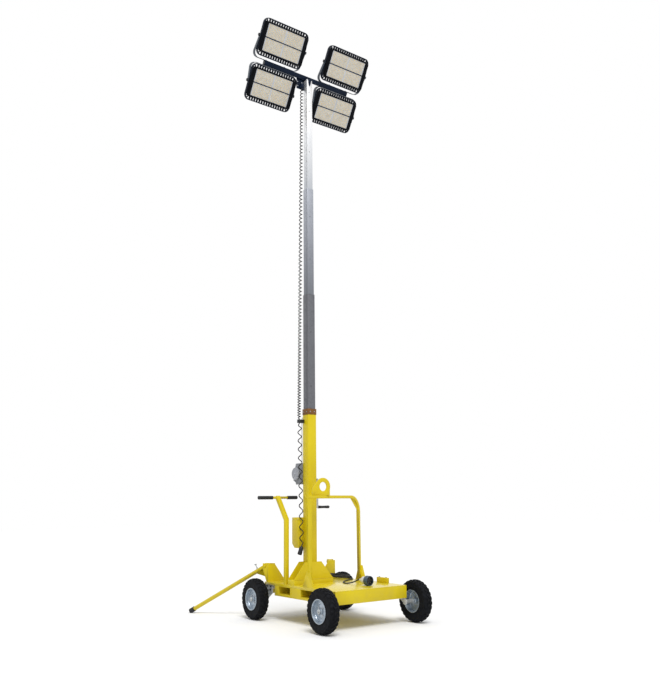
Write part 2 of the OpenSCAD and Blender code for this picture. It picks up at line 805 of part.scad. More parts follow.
module head_crossbar() {
    color("darkslategray") in_head() difference() {
        cube([bar_w, bar_l, bar_w], center = true);
        cube([bar_w - 2 * bar_wall, bar_l + 2, bar_w - 2 * bar_wall], center = true);
    }
}
// A closed outline with two rounded corners at the crossbar, grow outside the yoke's inner face.
module yoke_outline(row, grow, tip) {
    r = yoke_r + grow;
    half = yoke_y + grow;
    start = row * (bar_w / 2 + yoke_t - grow);
    bend = start + row * r;
    translate([-half, min(bend, tip)]) square([2 * half, abs(tip - bend)]);
    translate([-half + r, min(start, tip)]) square([2 * (half - r), abs(tip - start)]);
    for (s = [-1, 1]) translate([s * (half - r), bend]) circle(r = r);
}
module yoke_pair(row) {
    pivot_z = lamp_lift + row * lamp_pitch_z;
    base = row * bar_w / 2;
    side = yoke_w / 2;
    depth = 2 * (pivot_in + yoke_w);
    color("darkslategray") in_head() for (column = [-1, 1])
        translate([0, column * lamp_pitch_y / 2, 0]) difference() {
            intersection() {
                crosswise(depth) difference() {
                    yoke_outline(row, yoke_t, pivot_z + row * side);
                    yoke_outline(row, 0, pivot_z + row * yoke_w);
                }
                upright(2 * lamp_pitch_y) union() {
                    polygon([
                        [-bar_w / 2, base - row], [bar_w / 2, base - row], [bar_w / 2, base + row * yoke_t],
                        [pivot_in + side, pivot_z - row * side], [pivot_in + side, pivot_z],
                        [pivot_in - side, pivot_z], [pivot_in - side, pivot_z - row * side],
                        [-bar_w / 2, base + row * yoke_t]
                    ]);
                    translate([pivot_in, pivot_z]) circle(d = yoke_w);
                }
            }
            translate([pivot_in, 0, pivot_z]) rod_y(lamp_pin_d + 2 * lamp_pin_clear, lamp_pitch_y);
        }
}
module yokes_top() {
    yoke_pair(1);
}
module yokes_low() {
    yoke_pair(-1);
}
module in_lamp(column, row) {
    in_head() translate([lamp_front, column * lamp_pitch_y / 2, lamp_lift + row * lamp_pitch_z])
        children();
}
module lamp_outline() {
    square([lamp_w - 2 * lamp_corner_r, lamp_h], center = true);
    square([lamp_w, lamp_h - 2 * lamp_corner_r], center = true);
    for (y = [-1, 1], z = [-1, 1])
        translate([y * (lamp_w / 2 - lamp_corner_r), z * (lamp_h / 2 - lamp_corner_r)])
            circle(r = lamp_corner_r);
}
module window_pair(depth) {
    h = (window_h - window_split) / 2;
    for (z = [-1, 1])
        translate([-depth / 2, 0, z * (h + window_split) / 2])
            cube([depth, window_w, h], center = true);
}
module lamp(column, row) {
    knob_y = yoke_y + yoke_t + hub_side_clear;
    color("black") in_lamp(column, row) {
        difference() {
            translate([-lamp_t / 2, 0, 0]) crosswise(lamp_t) lamp_outline();
            translate([1, 0, 0]) window_pair(window_depth + 1);
        }
        for (s = [-1, 1]) translate([-lamp_t / 2, s * (lamp_w / 2 + knob_y) / 2, 0])
            rod_y(lamp_pin_d, knob_y - lamp_w / 2 + 2);
        for (s = [-1, 1]) translate([-lamp_t / 2, s * (knob_y + knob_t / 2), 0]) rod_y(knob_d, knob_t);
    }
}
module lamp_top_near() {
    lamp(-1, 1);
}
module lamp_top_far() {
    lamp(1, 1);
}
module lamp_low_near() {
    lamp(-1, -1);
}
module lamp_low_far() {
    lamp(1, -1);
}

// ---- Lifting hoop ----
module in_hoop() {
    place() translate(concat(hoop_near, [0])) rotate([0, 0, hoop_turn]) children();
}
module foot_plate(x, side) {
    place() translate([x, side * (half_w - gusset_t / 2), deck_z]) upright(gusset_t) polygon([
        [-foot_plate_w / 2, 0], [foot_plate_w / 2, 0],
        [foot_plate_top_w / 2, foot_plate_h], [-foot_plate_top_w / 2, foot_plate_h]
    ]);
}
module hoop_near_leg() {
    color("gold") {
        in_hoop() translate([-hoop_w / 2, -hoop_w / 2, deck_z])
            cube([hoop_w, hoop_w, hoop_top_z - hoop_w - deck_z]);
        foot_plate(hoop_near[0], -1);
    }
}
module hoop_far_leg() {
    color("gold") {
        in_hoop() translate([hoop_span - hoop_w / 2, -hoop_w / 2, deck_z])
            cube([hoop_w, hoop_w, hoop_top_z - hoop_bend_r - deck_z]);
        foot_plate(hoop_far[0], 1);
    }
}
module hoop_top_bar() {
    bend_x = hoop_span + hoop_w / 2 - hoop_bend_r;
    bend_z = hoop_top_z - hoop_bend_r;
    inner = hoop_bend_r - hoop_w;
    color("gold") in_hoop() {
        translate([-hoop_w / 2, -hoop_w / 2, hoop_top_z - hoop_w])
            cube([bend_x + hoop_w / 2, hoop_w, hoop_w]);
        translate([bend_x, 0, bend_z]) rotate([90, 0, 0]) rotate_extrude(angle = 90)
            translate([inner, -hoop_w / 2]) square(hoop_w);
        // Web plate inside the bend
        translate([bend_x, 0, bend_z]) upright(gusset_t) difference() {
            polygon([[0, inner + 2], [inner + 2, 0], [inner, inner]]);
            rotate(0) difference() {
                square(2 * hoop_bend_r);
                circle(r = inner + 2);
            }
        }
    }
}
module lifting_lug() {
    rise = eye_z - hoop_top_z;
    color("gold") place() translate([eye_x, -eye_side, eye_z]) difference() {
        union() {
            crosswise(lug_t) circle(r = lug_r);
            crosswise(lug_t) polygon([
                [lug_r * 0.95, -lug_r * 0.1], [lug_r * 0.95, -rise], [-shoulder_reach, -rise],
                [-shoulder_reach, -rise / 4], [-shoulder_reach + 25, rise / 5],
                [-lug_r * cos(35) + 2, lug_r * sin(35) - 2], [0, 0]
            ]);
        }
        crosswise(2 * lug_t) circle(r = eye_r);
    }
}

// ---- Push handle ----
module handle_frame() {
    foot = [-handle_back, deck_z];
    bend = [-handle_back, handle_bend_z];
    tip = [-handle_back - handle_reach, handle_bar_z];
    color("gold") place() translate([0, handle_y, 0]) {
        upright(handle_w) strip([foot, bend, tip], handle_w);
        translate([tip[0], 0, tip[1]]) rod_y(handle_bar_d, handle_bar_l);
        translate([tip[0], 0, tip[1]]) rod_y(handle_w, handle_w);
    }
}
module handle_grips() {
    color("black") place()
        translate([-handle_back - handle_reach, handle_y, handle_bar_z])
            for (g = [[-1, grip_near_l], [1, grip_far_l]])
                translate([0, g[0] * (handle_bar_l / 2 + 6 - g[1] / 2), 0]) difference() {
                    rod_y(grip_d, g[1]);
                    translate([0, -g[0] * 6, 0]) rod_y(handle_bar_d, g[1]);
                }
}

// ---- Winch ----
module winch_frame() {
    cheek_y = winch_gap / 2 + winch_t / 2;
    low = crank_z - crank_above;
    color("slategray") place() translate([0, winch_y, 0]) {
        translate([mast_back_x - winch_t, -winch_gap / 2 - winch_t, low])
            cube([winch_t, winch_gap + 2 * winch_t, winch_h]);
        difference() {
            for (s = [-1, 1]) translate([0, s * cheek_y, 0]) upright(winch_t) polygon([
                [mast_back_x - 1, low], [mast_back_x - winch_depth * 0.68, low],
                [mast_back_x - winch_depth * 0.76, crank_z - 30], [mast_back_x - winch_depth, crank_z - 14],
                [mast_back_x - winch_depth, crank_z + 20],
                [mast_back_x - winch_depth * 0.7, low + winch_h],
                [mast_back_x - 1, low + winch_h]
            ]);
            translate([crank_x, 0, crank_z])
                rod_y(crank_shaft_d + 2 * winch_clear, 2 * winch_gap);
            translate([drum_x, 0, drum_z])
                rod_y(crank_shaft_d + 2 * winch_clear, 2 * winch_gap);
        }
        // Gear cover on three short pillars
        translate([drum_x + gear_cover_ahead, -cheek_y - winch_t / 2, drum_z - gear_cover_drop]) {
            translate([0, -gear_cover_t / 2 - 4, 0]) rod_y(gear_cover_d, gear_cover_t);
            for (a = [10, 135, 260])
                translate([gear_cover_d * 0.3 * cos(a), -2, gear_cover_d * 0.3 * sin(a)]) rod_y(8, 4.2);
        }
    }
}
module winch_drum() {
    color("silver") place() translate([drum_x, winch_y, drum_z]) {
        rod_y(drum_d, winch_gap - 2);
        rod_y(crank_shaft_d, winch_gap + 2 * winch_t + 4);
        for (s = [-1, 1]) translate([0, s * (winch_gap / 2 - 3), 0]) rod_y(drum_flange_d, 4);
    }
}
module winch_rope() {
    color("gray") place() translate([rope_x, winch_y, drum_z])
        cylinder(d = rope_d, h = pulley_z - drum_z);
}
module rope_pulley() {
    cheek = rope_d / 2 + 3;
    out = pulley_r + pulley_groove;
    color("silver") place() translate([0, winch_y, 0]) {
        translate([pulley_x, 0, pulley_z]) rotate([90, 0, 0]) rotate_extrude() {
            translate([8, -2]) square([pulley_r - 8, 4]);
            for (s = [-1, 1]) translate([8, s * 4 - 1]) square([out - 8, 2]);
        }
        translate([pulley_x, 0, pulley_z]) rod_y(16, 2 * cheek + 8);
        for (s = [-1, 1]) translate([0, s * (cheek + 2), 0]) upright(4) polygon([
            [mast_back_x, pulley_z - out], [mast_back_x, pulley_z + out - 6],
            [pulley_x - 12, pulley_z + 14], [pulley_x - 12, pulley_z - 14]
        ]);
    }
}
module crank_arm() {
    cheek_out = winch_gap / 2 + winch_t;
    arm_y = cheek_out + crank_offset;
    color("silver") place() translate([crank_x, winch_y, crank_z]) {
        translate([0, (arm_y - cheek_out) / 2, 0]) rod_y(crank_shaft_d, arm_y + cheek_out + 2);
        translate([0, arm_y, 0]) upright(crank_t) {
            translate([-crank_w / 2, -crank_l]) square([crank_w, crank_l]);
            circle(d = crank_w);
            translate([0, -crank_l]) circle(d = crank_w);
        }
        translate([0, arm_y + crank_grip_l / 2, -crank_l]) rod_y(12, crank_grip_l);
    }
}
module crank_grip() {
    arm_y = winch_gap / 2 + winch_t + crank_offset + crank_t / 2;
    color("black") place()
        translate([crank_x, winch_y + arm_y + crank_grip_l / 2, crank_z - crank_l]) difference() {
            rod_y(crank_grip_d, crank_grip_l);
            translate([0, -4, 0]) rod_y(12, crank_grip_l);
        }
}

// ---- Control box ----
module control_box() {
    color("gold") place() {
        translate([mast_back_x, mast_y, box_z]) upright(box_w) polygon([
            [0, 0], [-box_depth + box_slope, 0], [-box_depth, box_slope],
            [-box_depth, box_h], [0, box_h]
        ]);
        translate(gland) cylinder(d = gland_d, h = gland_l + 1);
    }
}

// ---- Outriggers ----
// An outrigger's own axes: the pivot at the origin, X away from the machine along the arm.
module in_arm() {
    place() translate([-arm_back, -arm_side, arm_pivot_z]) rotate([0, 0, 180 + arm_splay]) children();
}
module far_side() {
    place() mirror([0, 1, 0]) translate([(x_min + x_max) / 2, (y_min + y_max) / 2, 0]) children();
}
module outrigger_bracket() {
    plate_x = -arm_back + bracket_ahead;
    rise = deck_z - arm_pivot_z;
    color("gold") {
        place() translate([plate_x, 0, deck_z]) crosswise(bracket_t) polygon([
            [-half_w, 0], [-half_w + bracket_w, 0],
            [-half_w + bracket_top_w, bracket_h], [-half_w, bracket_h]
        ]);
        difference() {
            in_arm() for (s = [-1, 1])
                translate([0, s * (cheek_in + bracket_t / 2), 0]) upright(bracket_t) polygon([
                    [-95, rise], [-20, rise], [26, -26], [26, 26], [-95, 26]
                ]);
            place() translate([plate_x, -deck_w, 0]) cube([200, deck_w, 2 * deck_z]);
            in_arm() rod_y(arm_pin_d + 2 * arm_pin_clear, 4 * arm_d);
        }
    }
}
module outrigger_bracket_near() {
    outrigger_bracket();
}
module outrigger_bracket_far() {
    far_side() outrigger_bracket();
}
module outrigger_arm() {
    pin_l = 2 * (cheek_in + bracket_t + hub_side_clear);
    color("gold") in_arm() {
        rod_y(arm_d + 6, arm_d - 6);
        rod_y(arm_pin_d, pin_l);
        for (s = [-1, 1]) translate([0, s * (pin_l / 2 + 3), 0]) rod_y(arm_pin_d + 12, 6);
        rotate([0, 90 + arm_slope, 0]) cylinder(d = arm_d, h = arm_l - foot_end_t);
        upright(bracket_t) polygon([
            [0, -arm_d / 4], [130, -130 * tan(arm_slope) - arm_d / 4], [14, -105], [2, -100]
        ]);
    }
}
module outrigger_arm_near() {
    outrigger_arm();
}
module outrigger_arm_far() {
    far_side() outrigger_arm();
}
module outrigger_foot() {
    color("black") in_arm() difference() {
        rotate([0, 90 + arm_slope, 0]) translate([0, 0, arm_l - foot_l]) difference() {
            cylinder(d = foot_d, h = foot_l);
            translate([0, 0, -foot_end_t]) cylinder(d = arm_d, h = foot_l);
        }
        translate([0, -foot_d, -arm_pivot_z - foot_d]) cube([2 * arm_reach, 2 * foot_d, foot_d]);
    }
}
module outrigger_foot_near() {
    outrigger_foot();
}
module outrigger_foot_far() {
    far_side() outrigger_foot();
}

// ---- Cords ----
// A round cord envelope from one end to the other.
module leaning(from, to, d) {
    v = to - from;
    translate(from) rotate([0, acos(v[2] / norm(v)), atan2(v[1], v[0])]) cylinder(d = d, h = norm(v));
}
module coil_clamp() {
    color("black") place() translate([clamp_x - clamp_w / 2, clamp_y - clamp_w / 2, clamp_z])
        cube([clamp_w, clamp_off + clamp_w / 2, clamp_h]);
}
module coil_upper() {
    color("black") place() leaning(curl_foot, curl_top, curl_d);
}
module coil_lower() {
    color("black") place() leaning(curl_low_foot, curl_low_top, curl_low_d);
}
module coil_plug() {
    color("black") place() translate(curl_low_foot) {
        translate([0, 0, -16]) cylinder(d = curl_plug_d - 16, h = 16 - 2 * cord_gap);
        translate([0, 0, -10]) rotate([-curl_plug_lean, 0, 0]) translate([0, 0, -curl_plug_l])
            cylinder(d = curl_plug_d, h = curl_plug_l);
    }
}
module supply_cable() {
    color("black") place() swept(cable_route, cable_d);
}
module supply_hank() {
    run = hank_ends[1] - hank_ends[0];
    color("black") place() translate([hank_ends[0][0], hank_ends[0][1], deck_z + 0.3])
        rotate([0, 0, atan2(run[1], run[0])]) linear_extrude(height = hank_h) {
            translate([0, -hank_w / 2]) square([norm(run), hank_w]);
            circle(d = hank_w);
            translate([norm(run), 0]) circle(d = hank_w);
        }
}
module supply_lead() {
    color("black") place() swept(lead_route, cable_d);
}
module supply_plug() {
    color("slategray") place() translate(plug_tail) rotate([0, 90, 0]) {
        cylinder(d = plug_body_d * 0.6, h = 30);
        translate([0, 0, 22]) cylinder(d = plug_body_d, h = plug_l - plug_collar_l - 20);
        translate([0, 0, plug_l - plug_collar_l]) cylinder(d = plug_d, h = plug_collar_l);
    }
}

deck_plate();
front_fascia();
rear_fascia();
side_webs();
fork_pocket_rear();
fork_pocket_front();
deck_block();
axle_front();
axle_rear();
tyre_front_near();
tyre_front_far();
tyre_rear_near();
tyre_rear_far();
rim_front_near();
rim_front_far();
rim_rear_near();
rim_rear_far();
mast_foot_beam();
mast_gussets();
mast_tube_1();
mast_collar();
mast_tube_2();
mast_tube_3();
mast_tube_4();
head_mount();
head_crossbar();
yokes_top();
yokes_low();
lamp_top_near();
lamp_top_far();
lamp_low_near();
lamp_low_far();
hoop_near_leg();
hoop_top_bar();
hoop_far_leg();
lifting_lug();
handle_frame();
handle_grips();
winch_frame();
winch_drum();
winch_rope();
rope_pulley();
crank_arm();
crank_grip();
control_box();
outrigger_bracket_near();
outrigger_bracket_far();
outrigger_arm_near();
outrigger_arm_far();
outrigger_foot_near();
outrigger_foot_far();
coil_clamp();
coil_upper();
coil_lower();
coil_plug();
supply_cable();
supply_hank();
supply_lead();
supply_plug();
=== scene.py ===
import json
import math
import random

import bmesh
import bpy
from mathutils import Matrix, Vector


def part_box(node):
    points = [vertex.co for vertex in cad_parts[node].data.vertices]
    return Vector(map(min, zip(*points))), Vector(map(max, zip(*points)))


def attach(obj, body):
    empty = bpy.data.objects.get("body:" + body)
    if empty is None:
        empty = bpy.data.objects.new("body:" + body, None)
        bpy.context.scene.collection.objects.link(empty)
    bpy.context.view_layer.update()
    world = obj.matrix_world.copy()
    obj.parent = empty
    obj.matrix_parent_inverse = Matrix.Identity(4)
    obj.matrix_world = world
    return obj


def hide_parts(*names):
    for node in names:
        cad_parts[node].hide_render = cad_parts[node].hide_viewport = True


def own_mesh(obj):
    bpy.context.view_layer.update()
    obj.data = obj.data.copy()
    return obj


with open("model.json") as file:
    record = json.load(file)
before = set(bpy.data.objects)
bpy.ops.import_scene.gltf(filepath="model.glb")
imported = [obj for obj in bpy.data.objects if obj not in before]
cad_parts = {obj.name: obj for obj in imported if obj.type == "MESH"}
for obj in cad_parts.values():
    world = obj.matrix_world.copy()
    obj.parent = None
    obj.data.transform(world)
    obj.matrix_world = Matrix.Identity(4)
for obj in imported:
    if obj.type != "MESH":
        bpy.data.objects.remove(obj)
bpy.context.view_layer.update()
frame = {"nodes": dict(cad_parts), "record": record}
mm = 0.001


def boxOf(node):
    low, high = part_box(node)
    return low, high, (low + high) / 2


def middle(*nodes):
    return sum((boxOf(n)[2] for n in nodes), Vector()) / len(nodes)


# The middle of the four wheels, on the ground: every size below is in millimetres from here
wheelNames = ["front_near", "front_far", "rear_near", "rear_far"]
wheelMiddle = middle(*["tyre_" + n for n in wheelNames])
origin = Vector((wheelMiddle.x, wheelMiddle.y, 0))


def at(x, y, z):
    return Vector((x * mm + origin.x, y * mm + origin.y, z * mm))


# Materials: colours are written as sRGB hex values, which this turns to linear
def toLinear(hexCode):
    parts = [int(hexCode[i:i + 2], 16) / 255 for i in (1, 3, 5)]
    return [c / 12.92 if c <= 0.04045 else ((c + 0.055) / 1.055) ** 2.4 for c in parts] + [1]


def addNode(tree, kind, inputs=None, **settings):
    # An input takes a value, or another node's output, which is linked to it
    made = tree.nodes.new(kind)
    for key, value in settings.items():
        setattr(made, key, value)
    for key, value in (inputs or {}).items():
        if isinstance(value, bpy.types.NodeSocket):
            tree.links.new(value, made.inputs[key])
        else:
            made.inputs[key].default_value = value
    return made.outputs


def startMaterial(name):
    material = bpy.data.materials.new(name)
    material.use_nodes = True
    material.node_tree.nodes.clear()
    return material, material.node_tree, addNode(material.node_tree, "ShaderNodeTexCoord")["Object"]


def clouds(tree, place, size, detail=3.0, low=0.0, high=1.0, cut=(0.3, 0.7), grit=0.5):
    # Soft clouds of this size in millimetres, as a value that runs from low to high
    noise = addNode(tree, "ShaderNodeTexNoise", {
        "Vector": place, "Scale": 1000 / size, "Detail": detail, "Roughness": grit})[0]
    return addNode(tree, "ShaderNodeMapRange", {
        "Value": noise, "From Min": cut[0], "From Max": cut[1], "To Min": low, "To Max": high})[0]


def endMaterial(tree, place, shader, grain=None):
    # grain is a fine unevenness: its size in millimetres, its detail, its depth in millimetres
    if grain:
        size, detail, depth = grain
        height = addNode(tree, "ShaderNodeTexNoise", {
            "Vector": place, "Scale": 1000 / size, "Detail": detail, "Roughness": 0.5})[0]
        shader["Normal"] = addNode(tree, "ShaderNodeBump", {
            "Height": height, "Strength": 1.0, "Distance": depth * mm})[0]
    surface = addNode(tree, "ShaderNodeBsdfPrincipled", shader)[0]
    addNode(tree, "ShaderNodeOutputMaterial", {"Surface": surface})


def twoTone(name, first, second, cloud, gloss=None, grain=None, **shader):
    # Two close colours in clouds, and a gloss that varies in clouds of its own
    material, tree, place = startMaterial(name)
    shader["Base Color"] = addNode(tree, "ShaderNodeMix", {
        0: clouds(tree, place, *cloud), 6: toLinear(first), 7: toLinear(second)}, data_type="RGBA")[2]
    if gloss:
        shader["Roughness"] = clouds(tree, place, *gloss)
    endMaterial(tree, place, shader, grain)
    return material


def coatedSteel(name, colour, shade, roughness=(0.3, 0.42), gloss=0.3, coat=0.0, dusty=None):
    # Powder coat on steel: an even colour with a faint orange peel and a soft clear gloss
    material, tree, place = startMaterial(name)
    colour = addNode(tree, "ShaderNodeMix", {
        0: clouds(tree, place, 260), 6: toLinear(colour), 7: toLinear(shade)}, data_type="RGBA")[2]
    if dusty:  # dust lies in patches on what is low
        height = addNode(tree, "ShaderNodeSeparateXYZ", {"Vector": place})[2]
        low = addNode(tree, "ShaderNodeMapRange", {
            "Value": height, "From Min": 0.16, "From Max": 0.5, "To Min": 0.35, "To Max": 0.0})[0]
        amount = addNode(tree, "ShaderNodeMath", {0: low, 1: clouds(tree, place, 60, 5)},
                         operation="MULTIPLY")[0]
        colour = addNode(tree, "ShaderNodeMix", {0: amount, 6: colour, 7: toLinear(dusty)},
                         data_type="RGBA")[2]
    # real orange peel is 1 to 2 mm across, drawn at 5 mm so that it shows
    endMaterial(tree, place, {
        "Base Color": colour, "Roughness": clouds(tree, place, 90, 4, *roughness), "IOR": 1.5,
        "Coat Weight": coat, "Coat Roughness": 0.12, "Specular IOR Level": gloss}, (5, 2, 0.06))
    return material


def galvanised(name, bright, dark, spangle=14, roughness=(0.34, 0.55), metallic=0.75, foot=None):
    # Hot-dip zinc: grey metal with crystal spangles 10 to 20 mm across; foot, when given, paints
    # shade that darkens it towards the bottom
    material, tree, place = startMaterial(name)
    cells = addNode(tree, "ShaderNodeTexVoronoi", {"Scale": 1000 / spangle, "Vector": place})["Color"]
    spangles = addNode(tree, "ShaderNodeSeparateColor", {"Color": cells})[0]
    share = addNode(tree, "ShaderNodeMath", {0: spangles, 1: clouds(tree, place, 180, 4), 2: 0.0},
                    operation="MULTIPLY_ADD")[0]
    colour = addNode(tree, "ShaderNodeMix", {0: share, 6: toLinear(bright), 7: toLinear(dark)},
                     data_type="RGBA")[2]
    # Painted light: darker below the lower height, fading to the full colour by the higher one
    if foot:  # two heights in metres, and the duller colour that fades out between them
        low, high, dull = foot
        height = addNode(tree, "ShaderNodeSeparateXYZ", {"Vector": place})[2]
        share = addNode(tree, "ShaderNodeMapRange", {
            "Value": height, "From Min": low, "From Max": high, "To Min": 0.0, "To Max": 1.0})[0]
        colour = addNode(tree, "ShaderNodeMix", {0: share, 6: toLinear(dull), 7: colour},
                         data_type="RGBA")[2]
    gloss = addNode(tree, "ShaderNodeMapRange", {
        "Value": spangles, "From Min": 0.0, "From Max": 1.0, "To Min": roughness[0],
        "To Max": roughness[1]})[0]
    endMaterial(tree, place, {"Base Color": colour, "Roughness": gloss, "Metallic": metallic},
                (3, 2, 0.05))
    return material


def mouldedPlastic(name, colour, shade, roughness=(0.45, 0.6), grain=2.0, depth=0.05):
    # Moulded or extruded plastic and rubber: one even colour with a fine leather-like grain
    return twoTone(name, colour, shade, (40,), (12, 3.0, *roughness), (grain, 2, depth), IOR=1.49)


paint = {
    "yellow": coatedSteel("powderCoatedSteelYellow", "#dcc616", "#d2bb10", dusty="#b39f4c"),
    # Partly painted light: the deck's copy of the yellow is a little lighter, a painted sheen for its
    # broad top, besides its real glossier coat
    "deck": coatedSteel("powderCoatedDeckYellowPaintedSheen", "#e2cd1c", "#d8c214", (0.24, 0.34), 0.5, 0.3,
                        "#bfac55"),
    "slate": coatedSteel("powderCoatedSteelSlate", "#13233a", "#0e1b2d", (0.45, 0.6), 0.15),
    # Partly painted light: the straps are drawn a lighter slate than the crossbar, a painted glint on
    # their outer faces, with a glossier coat besides
    "yoke": coatedSteel("powderCoatedYokeStrapPaintedGlint", "#36414e", "#2c3641", gloss=0.5),
    "winch": coatedSteel("enamelledSteelGrey", "#8e9196", "#7a7d82", (0.35, 0.5)),
    "cover": coatedSteel("enamelledSteelPaleGrey", "#a6a9b0", "#92959c", gloss=0.5),
    "lamp": coatedSteel("dieCastAluminiumBlack", "#05070c", "#0a0d14", (0.45, 0.6), 0.08),
    "guard": coatedSteel("paintedAluminiumGuard", "#182130", "#111926", (0.4, 0.55), 0.15),
}
zinc = {
    # Painted light: the mast's zinc is drawn darker on its lowest section, lighter on the next and
    # nearly white on the top one, and lighter up each, for the strong light on its top
    "mastLow": galvanised("galvanisedSteelLowPaintedShade", "#737479", "#66676c"),
    "mastMid": galvanised("galvanisedSteelMidPaintedLight", "#b4b8c1", "#a3a7b0", foot=(3.25, 4.5, "#777a81")),
    "mastHigh": galvanised("galvanisedSteelHighPaintedHighlight", "#fbfbfc", "#eff1f4", foot=(4.5, 5.35, "#c0c4ca")),
    "plate": galvanised("galvanisedSteelPlate", "#cfd1d0", "#b5b7b8", 9, (0.35, 0.55), 0.45),
    "rim": galvanised("zincPlatedPressedSteel", "#b0bac4", "#8f9ba8", 26, (0.22, 0.4)),
    "bolt": galvanised("zincPlatedBolt", "#b9bcc0", "#a2a5a9", 5, (0.28, 0.42)),
}
# Black oxide leaves steel as even and dull as moulded plastic, so it is made in the same way
blackBolt = mouldedPlastic("blackOxideSteel", "#15171a", "#0f1012", (0.3, 0.45), 3, 0.03)
gripRubber = mouldedPlastic("softGripRubber", "#17181a", "#1f2124", (0.6, 0.75), 1.6, 0.12)
cordSheath = mouldedPlastic("polyurethaneCordSheath", "#08080a", "#0e0e11", (0.5, 0.65), 3, 0.04)
cableSheath = mouldedPlastic("rubberCableSheath", "#1b1c1e", "#2a2b2e", (0.55, 0.7), 2, 0.08)
plugBlue = mouldedPlastic("nylonPlugBlueGrey", "#3a4f66", "#31455a", (0.3, 0.42))
plugPale = mouldedPlastic("nylonPlugPaleGrey", "#d9dde0", "#cdd1d5", (0.35, 0.5))
plugBlack = mouldedPlastic("nylonPlugBlack", "#0b0f18", "#11151f", (0.3, 0.45))
wiperNylon = mouldedPlastic("nylonWiperRing", "#7c5016", "#69420f", (0.45, 0.6))
clampNylon = mouldedPlastic("nylonCordClamp", "#1a1c1f", "#222428")
# Nickelled brass: a dull grey metal with a yellow cast
brass = galvanised("nickelledBrassPin", "#8f8a74", "#7c7761", 6, (0.2, 0.35))
# Carbon-black rubber: nearly black, matt, dulled by a film of grey dust
tyreRubber = twoTone(
    "vulcanisedTyreRubber", "#08090d", "#202329", (35, 6, 0.0, 0.5, (0.42, 0.72), 0.65),
    (20, 3.0, 0.62, 0.85), (2.5, 4, 0.25), **{"Specular IOR Level": 0.15})
# Bright zinc-coated wire: small strands that glint along their length
steelWire = twoTone("zincCoatedWireRope", "#9a9ca0", "#6d7074", (8,), (5, 3.0, 0.3, 0.5),
                    Metallic=0.9)
# Clear moulded lens sheet over a pale board: pale grey with a soft sheen
lensSheet = twoTone("polycarbonateLensSheet", "#d3d4d5", "#bbbec2", (30, 4), (9, 3.0, 0.22, 0.4),
                    (6, 2, 0.3), IOR=1.58)
# Phosphor under a clear lens dome: cream to warm yellow when unlit
ledDome = twoTone("phosphorLensDome", "#efc964", "#f0e0ae", (34,), IOR=1.5, Roughness=0.2)
print("materials made:", len(bpy.data.materials))


# Mesh helpers, in metres unless a note says otherwise
def basis(axis):
    z = Vector(axis).normalized()
    x = z.orthogonal().normalized()
    return Matrix((x, z.cross(x), z)).transposed()


def circleAt(centre, turn, radius, height, sides):
    return [centre + turn @ Vector((radius * math.cos(a), radius * math.sin(a), height)) for a in
            (2 * math.pi * i / sides for i in range(sides))]


def addRings(bm, rings, loop=False):
    # Each ring of points is joined to the next; the ends are closed, or joined in a loop
    rows = [[bm.verts.new(p) for p in ring] for ring in rings]
    n = len(rows[0])
    for a, b in list(zip(rows, rows[1:])) + ([(rows[-1], rows[0])] if loop else []):
        for i in range(n):
            bm.faces.new((a[i], a[(i + 1) % n], b[(i + 1) % n], b[i]))
    if not loop:
        bm.faces.new(rows[0][::-1])
        bm.faces.new(rows[-1])


def addRod(bm, start, end, radius, sides=20):
    start, end = Vector(start), Vector(end)
    turn = basis(end - start)
    addRings(bm, [circleAt(p, turn, radius, 0, sides) for p in (start, end)])


def addTurned(bm, profile, start, axis, sides=32):
    # The profile is a list of radii and heights in millimetres
    turn = basis(axis)
    loop = profile[0] == profile[-1]
    addRings(bm, [circleAt(Vector(start), turn, r * mm, h * mm, sides) for r, h in profile], loop)
    if loop:
        bmesh.ops.remove_doubles(bm, verts=bm.verts, dist=1e-6)


def addBox(bm, low, high, turn=None):
    low, high = Vector(low), Vector(high)
    corners = [Vector((x, y, z)) for z in (low.z, high.z) for x, y in
               ((low.x, low.y), (high.x, low.y), (high.x, high.y), (low.x, high.y))]
    if turn:
        corners = [turn @ c for c in corners]
    addRings(bm, [corners[:4], corners[4:]])


def boxIn(bm, low, high, turn=None):
    addBox(bm, Vector(low) * mm, Vector(high) * mm, turn)


def smoothLine(points, steps=8):
    points = [Vector(p) for p in points]
    line = []
    for i in range(len(points) - 1):
        a, b, c, d = (points[max(0, min(len(points) - 1, i + k))] for k in (-1, 0, 1, 2))
        for s in range(steps):
            t = s / steps
            line.append(0.5 * (2 * b + (c - a) * t + (2 * a - 5 * b + 4 * c - d) * t * t
                               + (3 * b - a - 3 * c + d) * t ** 3))
    return line + [points[-1]]


def headingAt(line, i):
    return (line[min(i + 1, len(line) - 1)] - line[max(i - 1, 0)]).normalized()


def addTube(bm, line, radius, sides=10):
    side = headingAt(line, 0).orthogonal().normalized()
    rings = []
    for i, p in enumerate(line):
        heading = headingAt(line, i)
        side = (side - heading * side.dot(heading)).normalized()
        other = heading.cross(side)
        rings.append([p + side * radius * math.cos(a) + other * radius * math.sin(a) for a in
                      (2 * math.pi * k / sides for k in range(sides))])
    addRings(bm, rings)


def shadeByAngle(mesh, degrees):
    mesh.polygons.foreach_set("use_smooth", [True] * len(mesh.polygons))
    mesh.set_sharp_from_angle(angle=math.radians(degrees))


def meshOf(bm, name):
    bmesh.ops.recalc_face_normals(bm, faces=bm.faces)
    mesh = bpy.data.meshes.new(name)
    bm.to_mesh(mesh)
    bm.free()
    return mesh


def addObject(name, data):
    made = bpy.data.objects.new(name, data)
    bpy.context.scene.collection.objects.link(made)
    return made


def bakeModifiers(piece):
    bpy.context.view_layer.update()
    evaluated = piece.evaluated_get(bpy.context.evaluated_depsgraph_get())
    mesh = bpy.data.meshes.new_from_object(evaluated)
    piece.modifiers.clear()
    old, piece.data = piece.data, mesh
    mesh.name = old.name
    bpy.data.meshes.remove(old)
    return mesh


